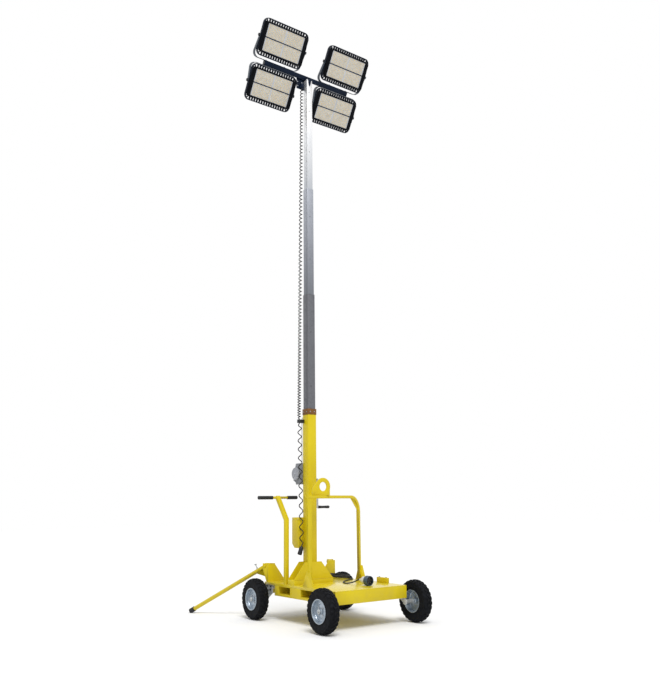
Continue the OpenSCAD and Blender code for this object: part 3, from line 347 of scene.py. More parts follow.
def markOuterEdges(mesh, degrees=40):
    # Only outer edges are rounded: an inner corner, such as a welded one, stays sharp
    bm = bmesh.new()
    bm.from_mesh(mesh)
    bmesh.ops.connect_verts_concave(bm, faces=bm.faces)
    weight = bm.edges.layers.float.new("bevel_weight_edge")
    for edge in bm.edges:
        if edge.is_manifold and edge.calc_face_angle_signed() > math.radians(degrees):
            edge[weight] = 1.0
    bm.to_mesh(mesh)
    bm.free()


def placePiece(name, mesh, material, body, bevel=0.0, replaces=(), angle=35):
    # bevel is the width of its rounded edges in millimetres, angle where its shading breaks
    piece = addObject(name, mesh)
    mesh.materials.clear()
    mesh.materials.append(material)
    if bevel:
        markOuterEdges(mesh)
        soften = piece.modifiers.new("softEdges", "BEVEL")
        soften.width, soften.segments, soften.limit_method = bevel * mm, 2, "WEIGHT"
        soften.harden_normals = False
        mesh = bakeModifiers(piece)
    shadeByAngle(mesh, angle)
    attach(piece, body)
    if replaces:
        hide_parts(*replaces)
    return piece


def newPiece(name, bm, material, body, slot, bevel=0.0, replaces=(), angle=35):
    return placePiece(name, meshOf(bm, name), material, body, bevel, replaces, angle)


def turnedPiece(name, profile, start, axis, sides, *rest, **more):
    bm = bmesh.new()
    addTurned(bm, profile, start, axis, sides)
    return newPiece(name, bm, *rest, **more)


def bodyOf(node):
    return next(b for b, names in frame["record"]["behaviour"]["bodies"].items() if node in names)


def softened(node, name, material, slot, bevel):
    # A solid of the frame with its loose triangles merged into whole faces and its edges rounded
    bm = bmesh.new()
    bm.from_mesh(frame["nodes"][node].data)
    bmesh.ops.remove_doubles(bm, verts=bm.verts, dist=2e-5)
    bmesh.ops.dissolve_limit(bm, angle_limit=math.radians(0.5), verts=bm.verts, edges=bm.edges)
    return newPiece(name, bm, material, bodyOf(node), slot, bevel, [node])


# Camera and light: the place in millimetres, the angles in degrees
view = {"azimuth": 53.5203, "pitch": 12.3019, "roll": -0.6319, "x": 6289.2, "y": -4662.2,
        "z": 1147.9, "lens": 39.74, "sensor": 36.0}


def addCamera():
    data = bpy.data.cameras.new("camera")
    data.lens, data.sensor_width, data.sensor_fit = view["lens"], view["sensor"], "AUTO"
    data.clip_start, data.clip_end = 0.1, 200
    camera = addObject("camera", data)
    az, tip, roll = (math.radians(view[k]) for k in ("azimuth", "pitch", "roll"))
    ahead = Vector((-math.sin(az) * math.cos(tip), math.cos(az) * math.cos(tip), math.sin(tip)))
    level = Vector((math.cos(az), math.sin(az), 0))
    upright = level.cross(ahead)
    right = math.cos(roll) * level + math.sin(roll) * upright
    up = -math.sin(roll) * level + math.cos(roll) * upright
    turn = Matrix((right, up, -ahead)).transposed().to_4x4()
    camera.matrix_world = Matrix.Translation(at(view["x"], view["y"], view["z"])) @ turn
    bpy.context.scene.camera = camera


studio = {"world": 0.62, "sun": 1.75, "sunAngle": 24.0, "sunFrom": (0.62, -0.30, 1.0),
          "floorSize": 60.0, "floor": "#f4f4f4"}


def addStudio():
    world = bpy.data.worlds.new("studio")
    bpy.context.scene.world = world
    world.use_nodes = True
    tree = world.node_tree
    tree.nodes.clear()
    rays = addNode(tree, "ShaderNodeLightPath")
    seen = rays["Is Camera Ray"]
    for ray in ("Is Glossy Ray", "Is Transmission Ray"):
        seen = addNode(tree, "ShaderNodeMath", {0: seen, 1: rays[ray]}, operation="MAXIMUM")[0]
    soft, white = (addNode(tree, "ShaderNodeBackground", {
        "Color": (1, 1, 1, 1), "Strength": strength})[0] for strength in (studio["world"], 1.0))
    both = addNode(tree, "ShaderNodeMixShader", {0: seen, 1: soft, 2: white})[0]
    addNode(tree, "ShaderNodeOutputWorld", {"Surface": both})
    sun = bpy.data.lights.new("softSun", "SUN")
    sun.energy, sun.angle = studio["sun"], math.radians(studio["sunAngle"])
    lamp = addObject("softSun", sun)
    lamp.rotation_euler = Vector(studio["sunFrom"]).to_track_quat("Z", "Y").to_euler()
    half = studio["floorSize"] / 2
    mesh = bpy.data.meshes.new("floor")
    mesh.from_pydata([(x * half, y * half, 0) for x, y in ((-1, -1), (1, -1), (1, 1), (-1, 1))], [],
                     [(0, 1, 2, 3)])
    floor = addObject("floor", mesh)
    material, tree, place = startMaterial("paleStudioFloor")
    seen = addNode(tree, "ShaderNodeLightPath")["Is Camera Ray"]
    shade = addNode(tree, "ShaderNodeMix", {
        0: seen, 6: toLinear(studio["floor"]), 7: toLinear("#ffffff")}, data_type="RGBA")[2]
    endMaterial(tree, place, {"Base Color": shade, "Roughness": 0.9, "Specular IOR Level": 0.0})
    mesh.materials.append(material)


addCamera()
addStudio()
bpy.context.scene.view_settings.view_transform = "Standard"
print("camera and studio set")


# The two curly cords beside the mast: feet, tops and coil sizes in millimetres
curl = {
    "wire": 10.0, "perTurn": 16, "fade": 30.0, "plugLean": 20.0,
    "upper": {"foot": (-156, -308, 1991.3), "top": (-130, -279, 5790), "across": 38.0,
              "pitches": (26.0, 46.0, 39.0)},
    "lower": {"foot": (-140, -290, 725), "top": (-156, -302, 1954.4), "across": 46.0,
              "pitches": (112.0, 96.0, 82.0)},
}


def helixLine(foot, top, across, pitches):
    # A helix whose pitch runs from the foot's, through the middle's, to the top's
    foot, top = at(*foot), at(*top)
    span = (top - foot).length / mm
    z, phase, line = 0.0, 0.0, []
    radius = (across - curl["wire"]) / 2 * mm
    while z < span:
        share = z / span
        fade = max(min(1.0, z / curl["fade"], (span - z) / curl["fade"]), 0.0)
        around = Vector((math.cos(phase), math.sin(phase), 0))
        line.append(foot.lerp(top, share) + around * radius * fade)
        first = 0 if share < 0.5 else 1
        pitch = pitches[first] + (pitches[first + 1] - pitches[first]) * (2 * share - first)
        z += pitch / curl["perTurn"]
        phase += 2 * math.pi / curl["perTurn"]
    while (line[-1] - top).length < 4 * mm:
        line.pop()
    return line + [top]


def distances(line):
    along = [0.0]
    for a, b in zip(line, line[1:]):
        along.append(along[-1] + (b - a).length)
    return along


def lineLength(line):
    return distances(line)[-1]


def makeCurlyCord(name, node, sizes, downwards):
    line = helixLine(**sizes)
    if downwards:
        line.reverse()
    bm = bmesh.new()
    addTube(bm, line, curl["wire"] / 2 * mm, 8)
    piece = newPiece(name, bm, cordSheath, "chassis", "black_rubber", replaces=[node], angle=60)
    return piece, line


upperCurl, upperLine = makeCurlyCord("curlyCordUpper", "coil_upper", curl["upper"], False)
lowerCurl, lowerLine = makeCurlyCord("curlyCordLower", "coil_lower", curl["lower"], True)
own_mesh(upperCurl)

# The supply cable: out of the gland, over the deck, down through a hank, and on to its plug
supply = {"across": 12.0, "hankRadius": 42.5, "turns": 2, "capSteps": 8, "straightSteps": 4,
          "wander": 2.0, "reliefLength": 38.0, "gland": (-215, -140),
          "hankEnds": ((-488, 348), (-278, 362))}
deckTop = boxOf("deck_plate")[1].z / mm
cableZ = deckTop + supply["across"] / 2 + 0.3
cableStart = boxOf("control_box")[0].z / mm
plugLow, plugHigh, plugMiddle = boxOf("supply_plug")
plugRise = plugMiddle.z / mm - cableZ
hankRise = (supply["turns"] + 0.5) * supply["across"]


def hankLine():
    # Runs to and fro round two ends, a little looser each time, sinking from turn to turn
    (ax, ay), (bx, by) = supply["hankEnds"]
    heading = math.atan2(by - ay, bx - ax)
    drift = random.Random(4)
    flat = []
    halves = 2 * supply["turns"] + 2
    for half in range(halves):
        left = half % 2 == 0
        last = half == halves - 1
        (cx, cy), (nx, ny) = ((ax, ay), (bx, by)) if left else ((bx, by), (ax, ay))
        r = supply["hankRadius"] - drift.uniform(0, supply["wander"])
        for k in range(1 if last else supply["capSteps"] + 1):
            a = heading + math.pi * ((1.5 if left else 0.5) - k / supply["capSteps"])
            flat.append(Vector((cx + r * math.cos(a), cy + r * math.sin(a), 0)))
        if not last:
            a = heading + math.pi * (0.5 if left else -0.5)
            begin, goal = flat[-1].copy(), Vector((nx + r * math.cos(a), ny + r * math.sin(a), 0))
            flat += [begin.lerp(goal, k / supply["straightSteps"])
                     for k in range(1, supply["straightSteps"])]
    along = distances(flat)
    return [(p.x, p.y, cableZ + hankRise * (1 - s / along[-1])) for p, s in zip(flat, along)]


def supplyRoute():
    x, y = supply["gland"]
    out = [(x, y, cableStart), (x, y, 600), (-217, -138, 530), (-224, -127, 460), (-236, -108, 405),
           (-256, -72, 375)]
    out += [(x, y, cableZ + hankRise * share) for x, y, share in (
        (-284, -16, 0), (-318, 52, 0), (-352, 120, 0), (-386, 190, 0), (-405, 224, 0.2),
        (-425, 258, 0.6), (-446, 286, 0.95), (-466, 301, 1))]
    lead = [(-250, 403, 0), (-215, 397, 0), (-185, 384, 0), (-160, 362, 0), (-142, 332, 0),
            (-118, 288, 0), (-74, 216, 0), (-17, 145, 0), (40, 92, 0), (95, 62, 0), (150, 58, 1),
            (195, 71, 8), (228, 87, 20), (250, 97, plugRise - 9.5), (268, 102.5, plugRise - 2),
            (288, 104, plugRise), (318, 104, plugRise), (348, 104, plugRise)]
    return out + hankLine() + [(x, y, cableZ + z) for x, y, z in lead]


def makeSupplyCable():
    line = smoothLine([at(*p) for p in supplyRoute()], 4)
    bm = bmesh.new()
    addTube(bm, line, supply["across"] / 2 * mm, 12)
    return newPiece("supplyCable", bm, cableSheath, "chassis", "black_rubber", angle=60,
                    replaces=["supply_cable", "supply_hank", "supply_lead"]), line


plugSizes = {"pins": 5, "pinRing": 42.0, "pin": 2.5, "earthPin": 3.2, "pinLength": 11.0, "ridges": 24}


def makePlug():
    tail = Vector((plugLow.x, plugMiddle.y, plugMiddle.z))
    length = (plugHigh.x - plugLow.x) / mm
    along = Vector((1, 0, 0))
    back = [(0.01, 0), (7.4, 0), (9, 2), (12.5, 26), (13, 28), (20, 31), (21, 34), (21, 46), (24, 50),
            (32, 56), (35, 62), (35, length - 54), (33, length - 52), (0.01, length - 52)]
    pale = turnedPiece("plugBody", back, tail, along, 40, plugPale, "chassis", "plug_grey", 0.8,
                       ["supply_plug"])
    bm = bmesh.new()
    ring = [(34, length - 52), (44.5, length - 52), (46.5, length - 49), (46.5, length - 34),
            (45, length - 32), (45, length - 22), (46.5, length - 20), (46.5, length - 3),
            (44, length), (40, length), (40, length - 28), (34, length - 28), (34, length - 52)]
    addTurned(bm, ring, tail, along, 48)
    for k in range(plugSizes["ridges"]):
        a = 2 * math.pi * k / plugSizes["ridges"]
        middleOfRidge = tail + Vector((length - 11, 45.4 * math.cos(a), 45.4 * math.sin(a))) * mm
        boxIn(bm, (-7, -0.9, -1.2), (7, 0.9, 1.2),
              Matrix.Translation(middleOfRidge) @ Matrix.Rotation(a, 4, "X"))
    blue = newPiece("plugRing", bm, plugBlue, "chassis", "plug_grey", 0.5)
    face = [(0.01, length - 32), (39.5, length - 32), (39.5, length - 5), (38, length - 4),
            (34, length - 4), (33, length - 18), (0.01, length - 18)]
    black = turnedPiece("plugInsert", face, tail, along, 40, plugBlack, "chassis", "plug_grey", 0.4)
    bm = bmesh.new()
    for k in range(plugSizes["pins"]):
        a = 2 * math.pi * (k + 0.25) / plugSizes["pins"]
        side = Vector((0, math.cos(a), math.sin(a))) * plugSizes["pinRing"] / 2 * mm
        start = tail + side + Vector((length - 19, 0, 0)) * mm
        radius = plugSizes["pin" if k else "earthPin"]
        addRod(bm, start, start + along * plugSizes["pinLength"] * mm, radius * mm, 14)
    pins = newPiece("plugPins", bm, brass, "chassis", "plug_grey", 0.6)
    return [pale, blue, black, pins]


supplyCable, supplyPath = makeSupplyCable()
supplyPlug = makePlug()


def makeGland():
    # Hexagon nut and a tapered sleeve round the cable below the box
    start = at(*supply["gland"], cableStart)
    nut = [(0.01, -12), (14.5, -12), (17, -10), (17, -1), (14.5, 1), (0.01, 1)]
    turnedPiece("glandNut", nut, start, (0, 0, -1), 6, plugBlack, "chassis", "black_rubber", 0.8,
                angle=30)
    sleeve = [(6.3, 0), (12, 0)]
    for k in range(6):
        h, r = 4 + 5.5 * k, 12 - 0.85 * k
        sleeve += [(r, h), (r - 1.2, h + 1), (r - 1.2, h + 2.6), (r - 0.5, h + 3.6)]
    sleeve += [(7.2, supply["reliefLength"]), (6.3, supply["reliefLength"]), (6.3, 0)]
    turnedPiece("cableStrainRelief", sleeve, start, (0, 0, -1), 28, cableSheath, "chassis",
                "black_rubber", angle=50)


makeGland()


def makeCoilPlug():
    # A collar where the cord ends, and below it the plug, leaning to its socket
    top = lowerLine[-1].copy()
    angle = math.radians(curl["plugLean"])
    lean = Vector((0, -math.sin(angle), -math.cos(angle)))
    bm = bmesh.new()
    addTurned(bm, [(0.01, 0), (6, 0), (9, 4), (13, 14), (0.01, 14)], top, (0, 0, -1), 24)
    body = [(0.01, 1), (15, 1), (19, 6), (22.5, 14), (22.5, 34), (20, 36), (20, 40), (22.5, 42),
            (22.5, 76), (20.5, 79.5), (14, 79.5), (13, 66), (0.01, 66)]
    addTurned(bm, body, top - Vector((0, 0, 11)) * mm, lean, 36)
    return newPiece("coilPlug", bm, plugBlack, "chassis", "black_rubber", 0.5, ["coil_plug"])


coilPlug = makeCoilPlug()
print("cords made: %.2f m, %.2f m and %.2f m" % tuple(
    lineLength(line) for line in (upperLine, lowerLine, supplyPath)))


# Geometry Nodes trees for what repeats
def newTree(name, **sizes):
    # A tree whose inputs are the named sizes, each Float, Int or Vector, and the finish
    tree = bpy.data.node_groups.new(name, "GeometryNodeTree")
    inputs = {"Geometry": "Geometry", **sizes, "Finish": "Material"}
    for label, kind in inputs.items():
        tree.interface.new_socket(label, in_out="INPUT", socket_type="NodeSocket" + kind)
    tree.interface.new_socket("Geometry", in_out="OUTPUT", socket_type="NodeSocketGeometry")
    return tree, addNode(tree, "NodeGroupInput")


def endTree(tree, source, geometry):
    real = addNode(tree, "GeometryNodeRealizeInstances", {"Geometry": geometry})[0]
    done = addNode(tree, "GeometryNodeSetMaterial", {
        "Geometry": real, "Material": source["Finish"]})[0]
    addNode(tree, "NodeGroupOutput", {0: done})
    return tree


def grow(tree, mesh, material, **sizes):
    carrier = addObject("carrier", mesh)
    modifier = carrier.modifiers.new("grow", "NODES")
    modifier.node_group = tree
    for item in tree.interface.items_tree:
        if item.item_type == "SOCKET" and item.in_out == "INPUT":
            if item.name == "Finish":
                modifier[item.identifier] = material
            elif item.name in sizes:
                modifier[item.identifier] = sizes[item.name]
    grown = bakeModifiers(carrier)
    bpy.data.objects.remove(carrier)
    return grown


def pointsMesh(points, aims=None):
    mesh = bpy.data.meshes.new("points")
    mesh.from_pydata([tuple(p) for p in points], [], [])
    if aims:
        aim = mesh.attributes.new("aim", "FLOAT_VECTOR", "POINT")
        aim.data.foreach_set("vector", [c for a in aims for c in Vector(a).normalized()])
    return mesh


def makeRowTree():
    # A box repeated in a straight row along X
    tree, source = newTree("boxRow", Count="Int", Spacing="Float", Size="Vector")
    step = addNode(tree, "ShaderNodeCombineXYZ", {"X": source["Spacing"]})[0]
    row = addNode(tree, "GeometryNodeMeshLine", {"Count": source["Count"], "Offset": step})[0]
    block = addNode(tree, "GeometryNodeMeshCube", {"Size": source["Size"]})[0]
    copies = addNode(tree, "GeometryNodeInstanceOnPoints", {"Points": row, "Instance": block})[0]
    return endTree(tree, source, copies)


def makeTreadTree():
    # One ring of tread blocks around Z, each turned to face outwards
    tree, source = newTree("treadRing", Count="Int", Radius="Float", Offset="Float", Turn="Float",
                           Block="Vector", Slant="Float", Lean="Float")
    ring = addNode(tree, "GeometryNodeMeshCircle", {
        "Vertices": source["Count"], "Radius": source["Radius"]})[0]
    block = addNode(tree, "GeometryNodeMeshCube", {"Size": source["Block"]})[0]
    place = addNode(tree, "GeometryNodeInputPosition")[0]
    outwards = addNode(tree, "FunctionNodeAlignRotationToVector", {"Vector": place}, axis="X")[0]
    own = addNode(tree, "ShaderNodeCombineXYZ", {"X": source["Slant"], "Y": source["Lean"]})[0]
    local = addNode(tree, "FunctionNodeRotateRotation", {"Rotation": outwards, "Rotate By": own},
                    rotation_space="LOCAL")[0]
    copies = addNode(tree, "GeometryNodeInstanceOnPoints", {
        "Points": ring, "Instance": block, "Rotation": local})[0]
    shift = addNode(tree, "ShaderNodeCombineXYZ", {"Z": source["Offset"]})[0]
    turn = addNode(tree, "ShaderNodeCombineXYZ", {"Z": source["Turn"]})[0]
    moved = addNode(tree, "GeometryNodeTransform", {
        "Geometry": copies, "Translation": shift, "Rotation": turn})[0]
    return endTree(tree, source, moved)


def makeFastenerTree():
    # A washer and a hexagon head on every point, standing along the point's aim
    tree, source = newTree("hexagonHeads", HeadRadius="Float", HeadHeight="Float",
                           WasherRadius="Float", WasherHeight="Float")
    head, washer = (addNode(tree, "GeometryNodeMeshCylinder", {
        "Vertices": sides, "Radius": source[label + "Radius"], "Depth": source[label + "Height"]})[0]
        for label, sides in (("Head", 6), ("Washer", 16)))
    half = addNode(tree, "ShaderNodeMath", {0: source["HeadHeight"], 1: 0.5}, operation="MULTIPLY")[0]
    lift = addNode(tree, "ShaderNodeMath", {0: half, 1: source["WasherHeight"]}, operation="ADD")[0]
    up = addNode(tree, "ShaderNodeCombineXYZ", {"Z": lift})[0]
    raised = addNode(tree, "GeometryNodeTransform", {"Geometry": head, "Translation": up})[0]
    both = addNode(tree, "GeometryNodeJoinGeometry", {0: raised})[0]
    tree.links.new(washer, both.node.inputs[0])
    aim = addNode(tree, "GeometryNodeInputNamedAttribute", {"Name": "aim"},
                  data_type="FLOAT_VECTOR")[0]
    stand = addNode(tree, "FunctionNodeAlignRotationToVector", {"Vector": aim}, axis="Z")[0]
    copies = addNode(tree, "GeometryNodeInstanceOnPoints", {
        "Points": source["Geometry"], "Instance": both, "Rotation": stand})[0]
    return endTree(tree, source, copies)


def makeWeldTree():
    # Overlapping round beads along every edge line, as a hand-laid weld leaves them
    tree, source = newTree("weldBeads", BeadRadius="Float", BeadSpacing="Float")
    line = addNode(tree, "GeometryNodeMeshToCurve", {0: source["Geometry"]})[0]
    steps = addNode(tree, "GeometryNodeResampleCurve", {
        "Curve": line, "Length": source["BeadSpacing"]}, mode="LENGTH")[0]
    bead = addNode(tree, "GeometryNodeMeshIcoSphere", {
        "Subdivisions": 2, "Radius": source["BeadRadius"]})[0]
    copies = addNode(tree, "GeometryNodeInstanceOnPoints", {"Points": steps, "Instance": bead})[0]
    return endTree(tree, source, copies)


def makeLedTree():
    # A flat field of lens domes in columns and rows, with a gap down its middle
    tree, source = newTree("ledField", Width="Float", Height="Float", Columns="Int", Rows="Int",
                           DomeRadius="Float", Gap="Float")
    field = addNode(tree, "GeometryNodeMeshGrid", {
        "Size X": source["Width"], "Size Y": source["Height"], "Vertices X": source["Columns"],
        "Vertices Y": source["Rows"]})[0]
    place = addNode(tree, "GeometryNodeInputPosition")[0]
    side = addNode(tree, "ShaderNodeSeparateXYZ", {"Vector": place})[0]
    sign = addNode(tree, "ShaderNodeMath", {0: side}, operation="SIGN")[0]
    push = addNode(tree, "ShaderNodeMath", {0: sign, 1: source["Gap"]}, operation="MULTIPLY")[0]
    apart = addNode(tree, "ShaderNodeCombineXYZ", {"X": push})[0]
    placed = addNode(tree, "GeometryNodeSetPosition", {"Geometry": field, "Offset": apart})[0]
    dome = addNode(tree, "GeometryNodeMeshUVSphere", {
        "Segments": 8, "Rings": 4, "Radius": source["DomeRadius"]})[0]
    copies = addNode(tree, "GeometryNodeInstanceOnPoints", {"Points": placed, "Instance": dome})[0]
    flat = addNode(tree, "GeometryNodeScaleInstances", {
        "Instances": copies, "Scale": (1, 1, 0.6), "Local Space": True})[0]
    return endTree(tree, source, flat)


rowTree, treadTree, fastenerTree = makeRowTree(), makeTreadTree(), makeFastenerTree()
weldTree, ledTree = makeWeldTree(), makeLedTree()
emptyMesh = pointsMesh([(0, 0, 0)])


def joined(meshes):
    bm = bmesh.new()
    for mesh, place in meshes:
        piece = mesh.copy()
        piece.transform(place)
        bm.from_mesh(piece)
        bpy.data.meshes.remove(piece)
    made = bpy.data.meshes.new("joined")
    bm.to_mesh(made)
    bm.free()
    return made


def boxRow(count, spacing, size, material):
    return grow(rowTree, emptyMesh.copy(), material, Count=count, Spacing=spacing * mm,
                Size=[c * mm for c in size])


def addFasteners(name, body, points, aims, across=19.0, material=zinc["bolt"]):
    # across is the head's width over its flats in millimetres
    mesh = grow(fastenerTree, pointsMesh(points, aims), material,
                HeadRadius=across / 1.732 * mm, HeadHeight=across * 0.42 * mm,
                WasherRadius=across * 0.68 * mm, WasherHeight=across * 0.14 * mm)
    return placePiece(name, mesh, material, body)


def addWelds(name, lines, radius):
    points, edges = [], []
    for line in lines:
        first = len(points)
        points += [tuple(p) for p in line]
        edges += [(first + i, first + i + 1) for i in range(len(line) - 1)]
    mesh = bpy.data.meshes.new("weldLines")
    mesh.from_pydata(points, edges, [])
    beads = grow(weldTree, mesh, paint["yellow"], BeadRadius=radius * mm,
                 BeadSpacing=radius * 1.1 * mm)
    return placePiece(name, beads, paint["yellow"], "chassis", angle=70)


# Wheels: profiles run as radius and height along the axle, in millimetres
tyreSizes = {"blocks": 26, "tread": (  # each row's offset, turn, radius, block, slant and lean
    (0.011, 0.0, 0.1925, (0.0125, 0.026, 0.018), 0.5, 0.0),
    (-0.011, 0.12, 0.1925, (0.0125, 0.026, 0.018), -0.5, 0.0),
    (0.034, 0.06, 0.187, (0.013, 0.024, 0.020), 0.0, -0.42),
    (-0.034, 0.18, 0.187, (0.013, 0.024, 0.020), 0.0, 0.42),
    (0.0455, 0.0, 0.1765, (0.013, 0.017, 0.010), 0.0, -0.9),
    (-0.0455, 0.12, 0.1765, (0.013, 0.017, 0.010), 0.0, 0.9))}
rimSizes = {"boltRing": 41.0, "bolts": 4, "boltHead": 13.0, "boltFaces": (23.0, 18.0),
            "valve": (78, 0, 19), "valveTip": (4, 0, 16), "valveRadius": 3.2}


def tyreProfile():
    outer = [(102, 43), (106, 47.5), (113, 48.5), (120, 46.5), (124, 47.5), (140, 49.5), (158, 49.8),
             (172, 48.5), (175, 50.0), (178, 48), (186, 42), (190.5, 33), (192.5, 18), (193.0, 0)]
    return outer + [(r, -h) for r, h in outer[-2::-1]] + [(102, -20), (102, 20), (102, 43)]


def wheelPlace(node, name):
    # Turns the wheel's own axis to the machine's side, outer face out
    side = -1 if name.endswith("near") else 1
    return Matrix.Translation(middle(node + name)) @ Matrix.Rotation(math.radians(-90 * side), 4, "X")


def makeTyre(name):
    place = wheelPlace("tyre_", name)
    bm = bmesh.new()
    addTurned(bm, tyreProfile(), (0, 0, 0), (0, 0, 1), 96)
    bmesh.ops.transform(bm, matrix=place, verts=bm.verts)
    newPiece("tyreCarcass_" + name, bm, tyreRubber, "wheel_" + name, "rubber_tyre",
             replaces=["tyre_" + name], angle=50)
    labels = ("Offset", "Turn", "Radius", "Block", "Slant", "Lean")
    meshes = [(grow(treadTree, emptyMesh.copy(), tyreRubber, Count=tyreSizes["blocks"],
                    **dict(zip(labels, row))), place) for row in tyreSizes["tread"]]
    placePiece("tyreTread_" + name, joined(meshes), tyreRubber, "wheel_" + name, 1.4)


def makeRim(name):
    place = wheelPlace("rim_", name)
    flange = [(97.8, 49), (99, 52.5), (103, 53), (106.5, 52.6), (107, 50.8), (104.5, 49.6), (102, 47),
              (102, 24), (98.5, 16)]
    disc = [(97.5, -26), (94.5, -17), (94.5, 8), (90, 12.5), (82, 15.5), (72, 13), (62, 13.5),
            (54, 18), (40, 18.5), (27, 18.5), (27, 22.5), (40, 22.5), (56, 22), (63, 17.5), (72, 17),
            (82, 19.5), (91, 17.5), (95, 18.5), (97.5, 22)]
    barrel = [(97.5, 22)] + flange + [(r, -h) for r, h in reversed(flange)] + disc
    hub = [(12.6, -40), (20, -40), (22, -38), (22, -26), (28, -22), (28, 18), (28, 28), (26, 32),
           (22, 34), (21, 40), (12.6, 40), (12.6, -40)]
    bm = bmesh.new()
    addTurned(bm, barrel, (0, 0, 0), (0, 0, 1), 80)
    addTurned(bm, hub, (0, 0, 0), (0, 0, 1), 40)
    valve = Vector(rimSizes["valve"]) * mm
    addRod(bm, valve, valve + Vector(rimSizes["valveTip"]) * mm, rimSizes["valveRadius"] * mm, 12)
    bmesh.ops.transform(bm, matrix=place, verts=bm.verts)
    newPiece("rimPressing_" + name, bm, zinc["rim"], "wheel_" + name, "galvanised_steel",
             replaces=["rim_" + name], angle=40)
    spots, aims = [], []
    r = rimSizes["boltRing"]
    for k in range(rimSizes["bolts"]):
        a = math.pi * (2 * k + 1) / rimSizes["bolts"]
        for h, way in zip(rimSizes["boltFaces"], (1, -1)):  # a head on each face of the disc
            spots.append(place @ (Vector((r * math.cos(a), r * math.sin(a), h)) * mm))
            aims.append(place.to_3x3() @ Vector((0, 0, way)))
    addFasteners("rimBolts_" + name, "wheel_" + name, spots, aims, rimSizes["boltHead"])


for wheelName in wheelNames:
    makeTyre(wheelName)
    makeRim(wheelName)
print("wheels made")


# The solid pieces, from the frame's own shapes: finish, slot, and each edge's rounding in millimetres
dressed = [
    (paint["yellow"], "yellow_paint", {
        "front_fascia": 1.5, "rear_fascia": 1.5, "side_webs": 1.2, "fork_pocket_rear": 1.5,
        "fork_pocket_front": 1.5, "deck_block": 2.5, "mast_foot_beam": 4.0, "mast_gussets": 1.2,
        "mast_tube_1": 4.0, "hoop_near_leg": 2.5, "hoop_top_bar": 2.5, "hoop_far_leg": 2.5,
        "lifting_lug": 2.0, "handle_frame": 3.0, "outrigger_bracket_near": 1.0,
        "outrigger_bracket_far": 1.0, "outrigger_arm_near": 0.8, "outrigger_arm_far": 0.8,
        "control_box": 3.0}),
    (paint["deck"], "yellow_paint", {"deck_plate": 2.0}),
    (zinc["plate"], "galvanised_steel", {"axle_front": 1.0, "axle_rear": 1.0}),
    (gripRubber, "black_rubber", {"outrigger_foot_near": 2.0, "outrigger_foot_far": 2.0}),
    (clampNylon, "black_rubber", {"coil_clamp": 2.5}),
    (paint["winch"], "winch_grey", {"winch_frame": 1.0}),
    (zinc["plate"], "galvanised_steel", {"rope_pulley": 0.6}),
    (zinc["bolt"], "galvanised_steel", {"crank_arm": 1.2}),
    (wiperNylon, "collar_brown", {"mast_collar": 1.5}),
    (zinc["mastLow"], "galvanised_steel", {"mast_tube_2": 4.0}),
    (zinc["mastMid"], "galvanised_steel", {"mast_tube_3": 4.0}),
    (zinc["mastHigh"], "galvanised_steel", {"mast_tube_4": 4.0}),
    (paint["slate"], "head_slate", {"head_mount": 0.8, "head_crossbar": 3.0}),
    (paint["yoke"], "head_slate", {"yokes_top": 0.8, "yokes_low": 0.8}),
]
otherNames = {"deck_block": "edgeBlock", "mast_tube_1": "mastTubeLowest",
              "mast_tube_2": "mastTubeSecond", "mast_tube_3": "mastTubeThird",
              "mast_tube_4": "mastTubeTop"}
for finish, slot, nodes in dressed:
    for node, bevel in nodes.items():
        first, *others = node.split("_")
        ownName = otherNames.get(node, first + "".join(word.title() for word in others))
        softened(node, ownName, finish, slot, bevel)
print("solid pieces dressed")


# Lamps, drawn around their own middle and then leaned back with the crossbar
lampSizes = {
    "width": 580.0, "height": 400.0, "corner": 60.0, "slab": (536.0, 326.0, 34.0), "slabBack": -42.0,
    "window": (473.0, 290.0, 10.0), "recess": -7.0, "guard": 9.0, "guardDepth": (-48.0, -14.0),
    "tilt": 30.3, "front": 78.0, "pitchY": 870.0, "pitchZ": 245.0, "lift": 8.0,
    "ribs": 15, "ribSpan": 442.0, "rib": (12, 28, 34), "ribAt": (-31, 178), "cornerRib": (28, 7, 34),
    "cornerAngles": (22, 52), "cornerMiddle": (230, 140), "cornerArc": 41,
    "fins": 33, "fin": (2.6, 17, 290), "finPitch": 15.0, "finAt": -50,
    "cheeks": ((-54, -5, 146), (-48, -1.5, 60)), "pivotRadius": 6, "pivotLength": 14,
    "ledColumns": 22, "ledRows": 7, "ledMargin": (62, 24), "dome": 6.2, "ledGap": 9, "pivotAt": -30,
}
barMiddle = middle("head_crossbar")
headFrame = Matrix.Translation(barMiddle) @ Matrix.Rotation(math.radians(lampSizes["tilt"]), 4, "Y")
sideways = Matrix.Rotation(math.radians(90), 4, "Z")


def moveBy(*distance):
    return Matrix.Translation(Vector(distance) * mm)


def roundedOutline(width, height, corner, x, steps=8):
    points = []
    for cy, cz, start in ((1, 1, 0), (-1, 1, 90), (-1, -1, 180), (1, -1, 270)):
        for k in range(steps + 1):
            a = math.radians(start + 90 * k / steps)
            points.append(Vector((x, cy * (width / 2 - corner) + corner * math.cos(a),
                                  cz * (height / 2 - corner) + corner * math.sin(a))) * mm)
    return points


def addHoop(bm, outer, inner, back, front):
    # A closed frame between an outer and an inner rounded outline, from back to front
    rings = [roundedOutline(*size, x) for size, x in
             ((outer, back), (outer, front), (inner, front), (inner, back))]
    addRings(bm, rings, loop=True)


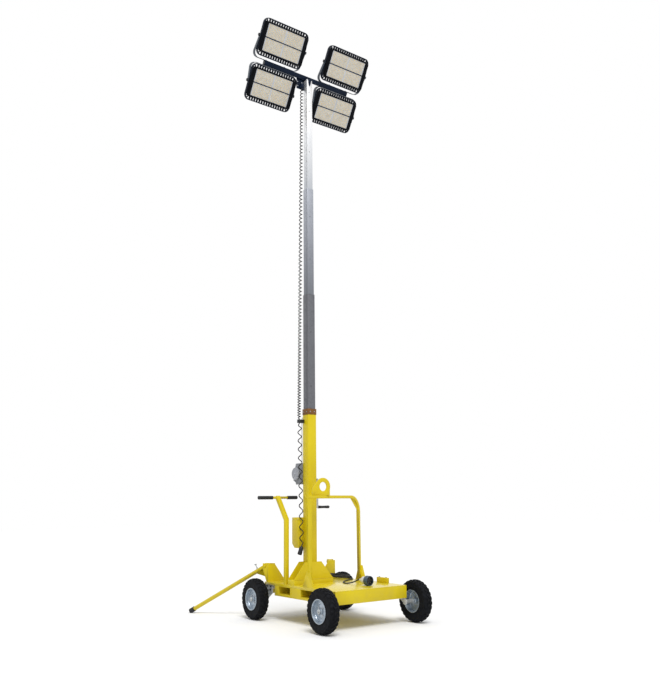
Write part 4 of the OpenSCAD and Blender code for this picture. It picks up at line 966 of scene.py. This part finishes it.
def makeLampShapes():
    s = lampSizes
    slabW = s["slab"][0]
    windowW, windowH, split = s["window"]
    body = bmesh.new()
    addRings(body, [roundedOutline(*s["slab"], x) for x in (s["slabBack"], s["recess"])])
    addHoop(body, s["slab"], (windowW, windowH, 6), s["recess"], 0)
    boxIn(body, (s["recess"], -windowW / 2 - 4, -split / 2), (-0.5, windowW / 2 + 4, split / 2))
    for side in (-1, 1):
        a, b = sorted((side * (slabW / 2 - 4), side * (s["width"] / 2 - 2)))
        for back, front, half in s["cheeks"]:
            boxIn(body, (back, a, -half), (front, b, half))
    guard = bmesh.new()
    outer = (s["width"], s["height"], s["corner"])
    inner = (s["width"] - 2 * s["guard"], s["height"] - 2 * s["guard"], s["corner"] - s["guard"])
    addHoop(guard, outer, inner, *s["guardDepth"])
    ribX, ribZ = s["ribAt"]
    rib = boxRow(s["ribs"], s["ribSpan"] / (s["ribs"] - 1), s["rib"], paint["guard"])
    ribs = [(rib, moveBy(ribX, -s["ribSpan"] / 2, z) @ sideways) for z in (-ribZ, ribZ)]
    cornerRib = boxRow(1, 1, s["cornerRib"], paint["guard"])
    arc, (arcY, arcZ) = s["cornerArc"], s["cornerMiddle"]
    for cy, cz in ((-1, -1), (-1, 1), (1, -1), (1, 1)):
        for a in map(math.radians, s["cornerAngles"]):
            lean = Matrix.Rotation(cy * cz * (a - math.pi / 2), 4, "X")
            spot = moveBy(ribX, cy * (arcY + arc * math.cos(a)), cz * (arcZ + arc * math.sin(a)))
            ribs.append((cornerRib, spot @ lean))
    fin = boxRow(s["fins"], s["finPitch"], s["fin"], paint["lamp"])
    fins = [(fin, moveBy(s["finAt"], -s["finPitch"] * (s["fins"] - 1) / 2, 0) @ sideways)]
    guardMesh = meshOf(guard, "lampGuard")
    return meshOf(body, "lampFrame"), joined([(guardMesh, Matrix.Identity(4))] + ribs), joined(fins)


def makeLensMeshes():
    # Two panes, one over the other, each with its field of domes
    s = lampSizes
    windowW, windowH, split = s["window"]
    paneH = (windowH - split) / 2
    marginW, marginH = s["ledMargin"]
    field = grow(ledTree, emptyMesh.copy(), ledDome, Width=(windowW - marginW) * mm,
                 Height=(paneH - marginH) * mm, Columns=s["ledColumns"], Rows=s["ledRows"],
                 DomeRadius=s["dome"] * mm, Gap=s["ledGap"] * mm)
    faceOut = Matrix(((0, 0, 1), (1, 0, 0), (0, 1, 0))).to_4x4()
    sheet = bmesh.new()
    domes = []
    for row in (-1, 1):
        z = row * (paneH + split) / 2
        boxIn(sheet, (s["recess"] - 0.5, -windowW / 2 - 1, z - paneH / 2 - 1),
              (-3.6, windowW / 2 + 1, z + paneH / 2 + 1))
        domes.append((field, moveBy(-3.8, 0, z) @ faceOut))
    return meshOf(sheet, "lensSheet"), joined(domes)


def makeKnobs():
    # The tilt pivots' clamp knobs, outside the yoke's legs
    s = lampSizes
    bm = bmesh.new()
    legInside, legThick, gap = s["width"] / 2 + 4, 5, 0.5
    for side in (-1, 1):
        start = Vector((s["pivotAt"], side * (s["width"] / 2 - 4), 0)) * mm
        tip = start + Vector((0, side * s["pivotLength"], 0)) * mm
        addRod(bm, start, tip, s["pivotRadius"] * mm, 16)
        base = Vector((s["pivotAt"], side * (legInside + legThick + gap), 0)) * mm
        grip = [(0.01, 0), (15.5, 0), (17, 1.5), (17, 10), (15, 12.6), (6, 13), (0.01, 13)]
        addTurned(bm, grip, base, (0, side, 0), 12)
    return meshOf(bm, "knobs")


lampFrameMesh, lampGuardMesh, lampFinMesh = makeLampShapes()
lensSheetMesh, ledMesh = makeLensMeshes()
knobMesh = makeKnobs()


def makeLamp(name):
    s = lampSizes
    row = 1 if "top" in name else -1
    column = -1 if name.endswith("near") else 1
    place = headFrame @ moveBy(s["front"], column * s["pitchY"] / 2, s["lift"] + row * s["pitchZ"])
    for mesh, label, material, bevel, replaces, angle in (
            (lampFrameMesh, "lampHousing", paint["lamp"], 2.0, [name], 35),
            (lampGuardMesh, "lampGuard", paint["guard"], 1.2, (), 35),
            (lampFinMesh, "lampFins", paint["lamp"], 0, (), 35),
            (lensSheetMesh, "lampLens", lensSheet, 0.8, (), 35),
            (ledMesh, "lampLeds", ledDome, 0, (), 60),
            (knobMesh, "lampKnobs", blackBolt, 0.8, (), 35)):
        copy = mesh.copy()
        copy.transform(place)
        placePiece(label + "_" + name, copy, material, name, bevel, replaces, angle)


for lampName in ("lamp_top_near", "lamp_top_far", "lamp_low_near", "lamp_low_far"):
    makeLamp(lampName)
print("lamps made")


# Fittings of the head
head = {"barHalf": 25.0, "barLength": 1150.0, "capHalf": 21.0, "capDepth": 14.0, "yokeBolt": 13.0,
        "yokeBoltSide": 120.0, "plate": 6.0, "plateBolt": 13.0, "plateRows": (-82, -30),
        "plateSides": (-122, -62, -14, 14), "mastHalf": 40.0}


def makeHeadFittings():
    bm = bmesh.new()
    end, half = head["barLength"] / 2, head["capHalf"]
    for side in (-1, 1):
        low, high = sorted((side * (end - head["capDepth"]), side * (end - 0.5)))
        boxIn(bm, (-half, low, -half), (half, high, half), headFrame)
    newPiece("crossbarEndCaps", bm, blackBolt, "mast_4", "head_slate", 1.5)
    spots, aims = [], []
    out = headFrame.to_3x3()
    yokeTop = head["barHalf"] + 5.0
    for column in (-1, 1):
        for across in (-head["yokeBoltSide"], head["yokeBoltSide"]):
            for row in (-1, 1):
                y = column * lampSizes["pitchY"] / 2 + across
                spots.append(headFrame @ (Vector((0, y, row * yokeTop)) * mm))
                aims.append(out @ Vector((0, 0, row)))
    addFasteners("yokeBolts", "mast_4", spots, aims, head["yokeBolt"])
    # Bolts through the head plate, and nuts behind it where the mast leaves room
    low, high, centre = boxOf("mast_tube_4")
    spots, aims = [], []
    for z in head["plateRows"]:
        for side in head["plateSides"]:
            spots.append(Vector((low.x - head["plate"] * mm, centre.y + side * mm, high.z + z * mm)))
            aims.append((-1, 0, 0))
            if side < -head["mastHalf"]:
                spots.append(Vector((low.x, centre.y + side * mm, high.z + z * mm)))
                aims.append((1, 0, 0))
    addFasteners("headPlateBolts", "mast_4", spots, aims, head["plateBolt"])


makeHeadFittings()


# Details of the mast
mast = {"plug": 5.0, "plugProud": 0.25, "plugSide": 8.0, "collarScrew": 9.0, "collarScrewSide": 26.0,
        "plugs": {2: (-420, -1000), 3: (-330, -820), 4: (-160, -400, -900)}}


def makeMastDetails():
    # Flush plugs in the sections' stop holes, thin enough to pass into the section below
    r, proud = mast["plug"], mast["plugProud"]
    plug = [(0.01, -1), (r, -1), (r, proud), (0.01, proud)]
    for number, heights in mast["plugs"].items():
        low, high, centre = boxOf("mast_tube_%d" % number)
        bm = bmesh.new()
        for h in heights:
            spot = Vector((high.x, centre.y - mast["plugSide"] * mm, high.z + h * mm))
            addTurned(bm, plug, spot, (1, 0, 0), 20)
        newPiece("mastPlugs_%d" % number, bm, blackBolt, "mast_%d" % number, "galvanised_steel")
    low, high, centre = boxOf("mast_collar")
    half = (high.x - low.x) / 2
    spots, aims = [], []
    for aim in (Vector((1, 0, 0)), Vector((-1, 0, 0)), Vector((0, 1, 0)), Vector((0, -1, 0))):
        across = Vector((abs(aim.y), abs(aim.x), 0)) * mast["collarScrewSide"] * mm
        for side in (-1, 1):
            spots.append(centre + aim * half + across * side)
            aims.append(aim)
    addFasteners("collarScrews", "chassis", spots, aims, mast["collarScrew"])


makeMastDetails()
print("head and mast fitted")


# Winch
winch = {"rope": 6.0, "strands": 6, "strandRing": 1.9, "strand": 1.08, "strandPitch": 44.0,
         "layers": ((31.0, 14), (36.2, 8)), "layerStart": -42.0, "drumHoles": 6, "drumHoleRing": 34.0,
         "pulleyAhead": 24.3, "coverRadius": 63.0, "coverAhead": 14.0, "coverDrop": 15.0,
         "coverBolts": 4, "coverBoltInset": 22.0, "coverBolt": 10.0}


def onCircle(radius, along, angle):
    # A point round an axis along Y, in millimetres
    return Vector((radius * math.cos(angle), along, radius * math.sin(angle))) * mm


def makeDrum():
    # Core, two flanges and shaft turned as one, and the rope wound on it in two layers
    centre = middle("winch_drum")
    drum = [(0.01, -57), (8.5, -57), (9, -56), (9, -49), (48, -49), (50, -48), (50, -46), (48, -45),
            (28, -45), (28, 45), (48, 45), (50, 46), (50, 48), (48, 49), (9, 49), (9, 56), (8.5, 57),
            (0.01, 57)]
    bm = bmesh.new()
    addTurned(bm, drum, centre, (0, 1, 0), 48)
    for k in range(winch["drumHoles"]):
        spot = centre + onCircle(winch["drumHoleRing"], -49.2, 2 * math.pi * k / winch["drumHoles"])
        addRod(bm, spot, spot + Vector((0, 0.6 * mm, 0)), 5 * mm, 12)
    newPiece("winchDrum", bm, zinc["plate"], "drum", "galvanised_steel", replaces=["winch_drum"])
    bm = bmesh.new()
    for radius, turns in winch["layers"]:
        line = [centre + onCircle(radius, winch["layerStart"] + winch["rope"] * k / 20,
                                  2 * math.pi * k / 20) for k in range(turns * 20 + 1)]
        addTube(bm, line, winch["rope"] / 2 * mm, 7)
    newPiece("woundRope", bm, steelWire, "drum", "galvanised_steel", angle=60)


def makeWireRope():
    # From the drum, over the pulley and in through the back of the mast, laid up from its strands
    low, high, rope = boxOf("winch_rope")
    mastBack = boxOf("mast_tube_1")[0].x
    wheelX = high.x + winch["pulleyAhead"] * mm
    r = wheelX - rope.x
    bottom, top = Vector((rope.x, rope.y, low.z)), Vector((rope.x, rope.y, high.z))
    line = [bottom.lerp(top, k / 90) for k in range(91)]
    line += [Vector((wheelX - r * math.cos(a), rope.y, high.z + r * math.sin(a)))
             for a in (math.pi / 2 * k / 10 for k in range(1, 11))]
    line += [Vector((wheelX + (mastBack + 2 * mm - wheelX) * k / 6, rope.y, high.z + r))
             for k in range(1, 7)]
    along = distances(line)
    side = Vector((0, 1, 0))
    bm = bmesh.new()
    for strand in range(winch["strands"]):
        twisted = []
        for i, p in enumerate(line):
            other = headingAt(line, i).cross(side)
            a = 2 * math.pi * (strand / winch["strands"] + along[i] / (winch["strandPitch"] * mm))
            twisted.append(p + (side * math.cos(a) + other * math.sin(a)) * winch["strandRing"] * mm)
        addTube(bm, twisted, winch["strand"] * mm, 5)
    newPiece("wireRope", bm, steelWire, "chassis", "galvanised_steel", replaces=["winch_rope"],
             angle=60)
    grommet = [(5.5, -1), (11, -1), (11, 2), (8, 3.4), (5.5, 3), (5.5, -1)]
    turnedPiece("ropeGrommet", grommet, (mastBack, rope.y, high.z + r), (-1, 0, 0), 28, blackBolt,
                "chassis", "black_rubber")


def makeGearCover():
    # A pressed dish with a raised rim and boss, and its bolts
    centre = middle("winch_drum")
    cover = Vector((centre.x + winch["coverAhead"] * mm, boxOf("winch_frame")[0].y,
                    centre.z - winch["coverDrop"] * mm))
    r = winch["coverRadius"]
    dish = [(0.01, -13), (r - 1, -13), (r + 0.6, -12), (r + 0.6, 2), (r - 2, 4.2), (r - 10, 4.2),
            (r - 14, 1.6), (17, 1.6), (14, 3.2), (0.01, 3.2)]
    turnedPiece("gearCover", dish, cover, (0, -1, 0), 64, paint["cover"], "chassis", "winch_grey")
    count = winch["coverBolts"]
    spots = [cover + onCircle(r - winch["coverBoltInset"], -1.6, math.pi * (2 * k + 1) / count)
             for k in range(count)] + [cover - Vector((0, 3.2, 0)) * mm]
    addFasteners("gearCoverBolts", "chassis", spots, [(0, -1, 0)] * len(spots), winch["coverBolt"])


makeDrum()
makeWireRope()
makeGearCover()

grips = {"near": 170.0, "far": 120.0, "bore": 13.2, "rib": 18.0, "groove": 16.6, "ribPitch": 9.0,
         "crankBore": 6.2}


def makeHandleGrips():
    # Ribbed rubber pulled over both ends of the handle bar, closed at the bar's end
    low, high, centre = boxOf("handle_grips")
    rib, groove = grips["rib"], grips["groove"]
    bm = bmesh.new()
    for side, length in ((-1, grips["near"]), (1, grips["far"])):
        outline = [(0.01, 0.0), (grips["bore"], 0.0), (17.6, 0.0), (rib, 1.5)]
        z = 6.0
        while z < length - 12:
            outline += [(rib, z), (groove, z + 1.2), (groove, z + 4.2), (rib, z + 5.4)]
            z += grips["ribPitch"]
        outline += [(rib, length - 4), (16, length - 0.5), (0.01, length)]
        end = centre.y + side * (high.y - low.y) / 2
        start = Vector((centre.x, end - side * length * mm, centre.z))
        addTurned(bm, outline, start, (0, side, 0), 28)
    newPiece("handleGrips", bm, gripRubber, "chassis", "black_rubber", replaces=["handle_grips"],
             angle=30)


def makeCrankGrip():
    # A waisted rubber handle with rounded ends
    low, high, centre = boxOf("crank_grip")
    length, r = (high.y - low.y) / mm, (high.x - low.x) / mm / 2
    outline = [(0.01, 0), (grips["crankBore"], 0), (r - 3, 0), (r - 1.2, 3), (r, 14), (r - 1.5, 40),
               (r - 2.5, 70), (r - 1.5, 104), (r, 130), (r - 1.5, length - 6), (r - 6, length - 0.6),
               (0.01, length)]
    turnedPiece("crankGrip", outline, (centre.x, low.y, centre.z), (0, 1, 0), 28, gripRubber, "crank",
                "black_rubber", replaces=["crank_grip"], angle=30)


makeHandleGrips()
makeCrankGrip()
print("winch and grips made")


# Control box
box = {"door": (172.0, 226.0), "doorProud": 3.0, "doorDrop": 12.0, "hinges": (-48, -178),
       "hinge": (34.0, 4.2), "hingeSide": 3.0, "lockSide": 62.0, "lockDrop": 112.0,
       "outlets": (-92, -178), "outletAhead": 4.0, "outletDepth": 15.0, "screw": 8.0,
       "screwSide": 44.0, "screwDrop": 16.0}


def makeBoxDetails():
    low, high, centre = boxOf("control_box")
    doorW, doorH = box["door"]
    front = low.x - box["doorProud"] * mm
    top = high.z - box["doorDrop"] * mm
    bm = bmesh.new()
    addBox(bm, Vector((front, centre.y - doorW / 2 * mm, top - doorH * mm)),
           Vector((low.x + 1 * mm, centre.y + doorW / 2 * mm, top)))
    newPiece("boxDoor", bm, paint["yellow"], "chassis", "yellow_paint", 1.4)
    bm = bmesh.new()
    length, radius = box["hinge"]
    half = Vector((0, 0, length / 2 * mm))
    for z in box["hinges"]:
        pin = Vector((front, centre.y - (doorW / 2 + box["hingeSide"]) * mm, top + z * mm))
        addRod(bm, pin - half, pin + half, radius * mm, 14)
    lock = Vector((front, centre.y + box["lockSide"] * mm, top - box["lockDrop"] * mm))
    addTurned(bm, [(0.01, -1), (11, -1), (11, 2), (9.5, 3.4), (4, 3.4), (4, 2), (0.01, 2)], lock,
              (-1, 0, 0), 24)
    newPiece("boxHinges", bm, zinc["bolt"], "chassis", "galvanised_steel", angle=40)
    # Two outlets with hinged lids on the far side
    bm = bmesh.new()
    lids = bmesh.new()
    depth = box["outletDepth"]
    outlet = [(0.01, -1), (25, -1), (27, 1), (27, depth - 2), (25, depth), (0.01, depth)]
    lid = [(0.01, 0), (24, 0), (25, 1.5), (24, 4), (8, 5.5), (0.01, 5.5)]
    for z in box["outlets"]:
        spot = Vector((centre.x + box["outletAhead"] * mm, high.y, high.z + z * mm))
        addTurned(bm, outlet, spot, (0, 1, 0), 36)
        addTurned(lids, lid, spot + Vector((0, depth * mm, 0)), (0, 1, 0), 36)
        addBox(lids, spot + Vector((-9, 8, 23)) * mm, spot + Vector((9, 19, 31)) * mm)
    newPiece("boxOutlets", bm, plugPale, "chassis", "plug_grey", 0.6)
    newPiece("boxOutletLids", lids, plugBlue, "chassis", "plug_grey", 0.6)
    spots = [Vector((centre.x + x * mm, y, high.z - box["screwDrop"] * mm)) for y in (low.y, high.y)
             for x in (-box["screwSide"], box["screwSide"])]
    addFasteners("boxScrews", "chassis", spots, [(0, -1, 0)] * 2 + [(0, 1, 0)] * 2, box["screw"])


makeBoxDetails()
print("control box made")


# Welds, bolts and pins
welds = {"bead": 3.0, "smallBead": 2.2, "step": 6.0, "railInside": 424.0, "axlePlates": (172, -100),
         "axlePlateHalf": 85.0, "beamStart": -424.0, "beamEnd": 40.0, "beamRise": 50.0,
         "beamTopSide": 56.5, "gussetSide": 50.0, "gussets": (-250, -150), "gussetHeight": 160.0,
         "endX": -549.0, "endY": (215, 428), "post": (-240, -408), "postHalf": 20.0}


def lineOf(*points):
    # A weld's line, with a point at each step
    found = []
    points = [at(*p) for p in points]
    for a, b in zip(points, points[1:]):
        steps = max(2, int((b - a).length / (welds["step"] * mm)))
        found += [a.lerp(b, k / steps) for k in range(steps + (b == points[-1]))]
    return found


def makeWelds():
    w = welds
    lines = []
    for x, side in zip(w["axlePlates"], (-1, 1)):
        y, half = side * w["railInside"], w["axlePlateHalf"]
        lines.append(lineOf((x - half, y, deckTop), (x + half, y, deckTop)))
    low, high, beam = boxOf("mast_foot_beam")
    mastX, half = (beam.x - origin.x) / mm, (high.x - low.x) / 2 / mm
    foot = deckTop + w["beamRise"]
    for side in (-1, 1):
        for x, z in ((mastX + side * half, deckTop), (mastX + side * w["beamTopSide"], foot)):
            lines.append(lineOf((x, w["beamStart"], z), (x, w["beamEnd"], z)))
        x = mastX + side * w["gussetSide"]
        for y in w["gussets"]:
            lines.append(lineOf((x, y, foot + 2), (x, y, foot + w["gussetHeight"])))
    inner, outer = w["endY"]
    for side in (-1, 1):
        lines.append(lineOf((w["endX"], side * inner, deckTop), (w["endX"], side * outer, deckTop)))
    addWelds("deckWelds", lines, w["bead"])
    (x, y), h = w["post"], w["postHalf"]
    square = [(x + i * h, y + j * h, deckTop)
              for i, j in ((-1, -1), (1, -1), (1, 1), (-1, 1), (-1, -1))]
    addWelds("postWelds", [lineOf(*square)], w["smallBead"])


fourCorners = [(end, side) for end in (-1, 1) for side in (-1, 1)]
bolts = {"plate": 15.0, "plateSpots": ((498, 318), (572, 318), (508, 286), (556, 276)),
         "plateY": 424.0, "block": 13.0, "blockSide": 52.0, "cap": 17.0, "capAt": (587, 608.4, 200)}


def makeBoltGroups():
    spots = [at(end * x, side * bolts["plateY"], z) for end, side in fourCorners
             for x, z in bolts["plateSpots"]]
    aims = [(0, side, 0) for end, side in fourCorners for spot in bolts["plateSpots"]]
    addFasteners("dropPlateBolts", "chassis", spots, aims, bolts["plate"], blackBolt)
    low, high, centre = boxOf("deck_block")
    spots = [Vector((centre.x + side * bolts["blockSide"] * mm, centre.y, high.z))
             for side in (-1, 1)]
    addFasteners("blockBolts", "chassis", spots, [(0, 0, 1)] * 2, bolts["block"])
    x, y, z = bolts["capAt"]
    addFasteners("axleEndCaps", "chassis", [at(end * x, side * y, z) for end, side in fourCorners],
                 [(0, side, 0) for end, side in fourCorners], bolts["cap"])


lockPin = {"root": (-618, 409, 512), "armAngle": math.radians(27), "slope": math.radians(27.5),
           "fromRoot": 112.0, "radius": 5.5}


def makeLockPins():
    # A spring pin with a knob, standing on each outrigger near its root
    angle, slope, r = lockPin["armAngle"], lockPin["slope"], lockPin["radius"]
    x, y, z = lockPin["root"]
    body = [(0.01, 14), (9, 14), (9, 34), (7.5, 36), (r, 37), (r, 62), (11, 63), (13, 66), (13, 72),
            (11, 75), (0.01, 75)]
    for name, side in (("near", -1), ("far", 1)):
        along = Vector((-math.cos(angle), side * math.sin(angle), 0))
        axis = along * math.cos(slope) - Vector((0, 0, math.sin(slope)))
        upright = along * math.sin(slope) + Vector((0, 0, math.cos(slope)))
        spot = at(x, side * y, z) + axis * lockPin["fromRoot"] * mm
        turnedPiece("outriggerLockPin_" + name, body, spot, upright, 24, zinc["bolt"],
                    "outrigger_" + name, "galvanised_steel")


makeWelds()
makeBoltGroups()
makeLockPins()
print("welds, bolts and pins made")
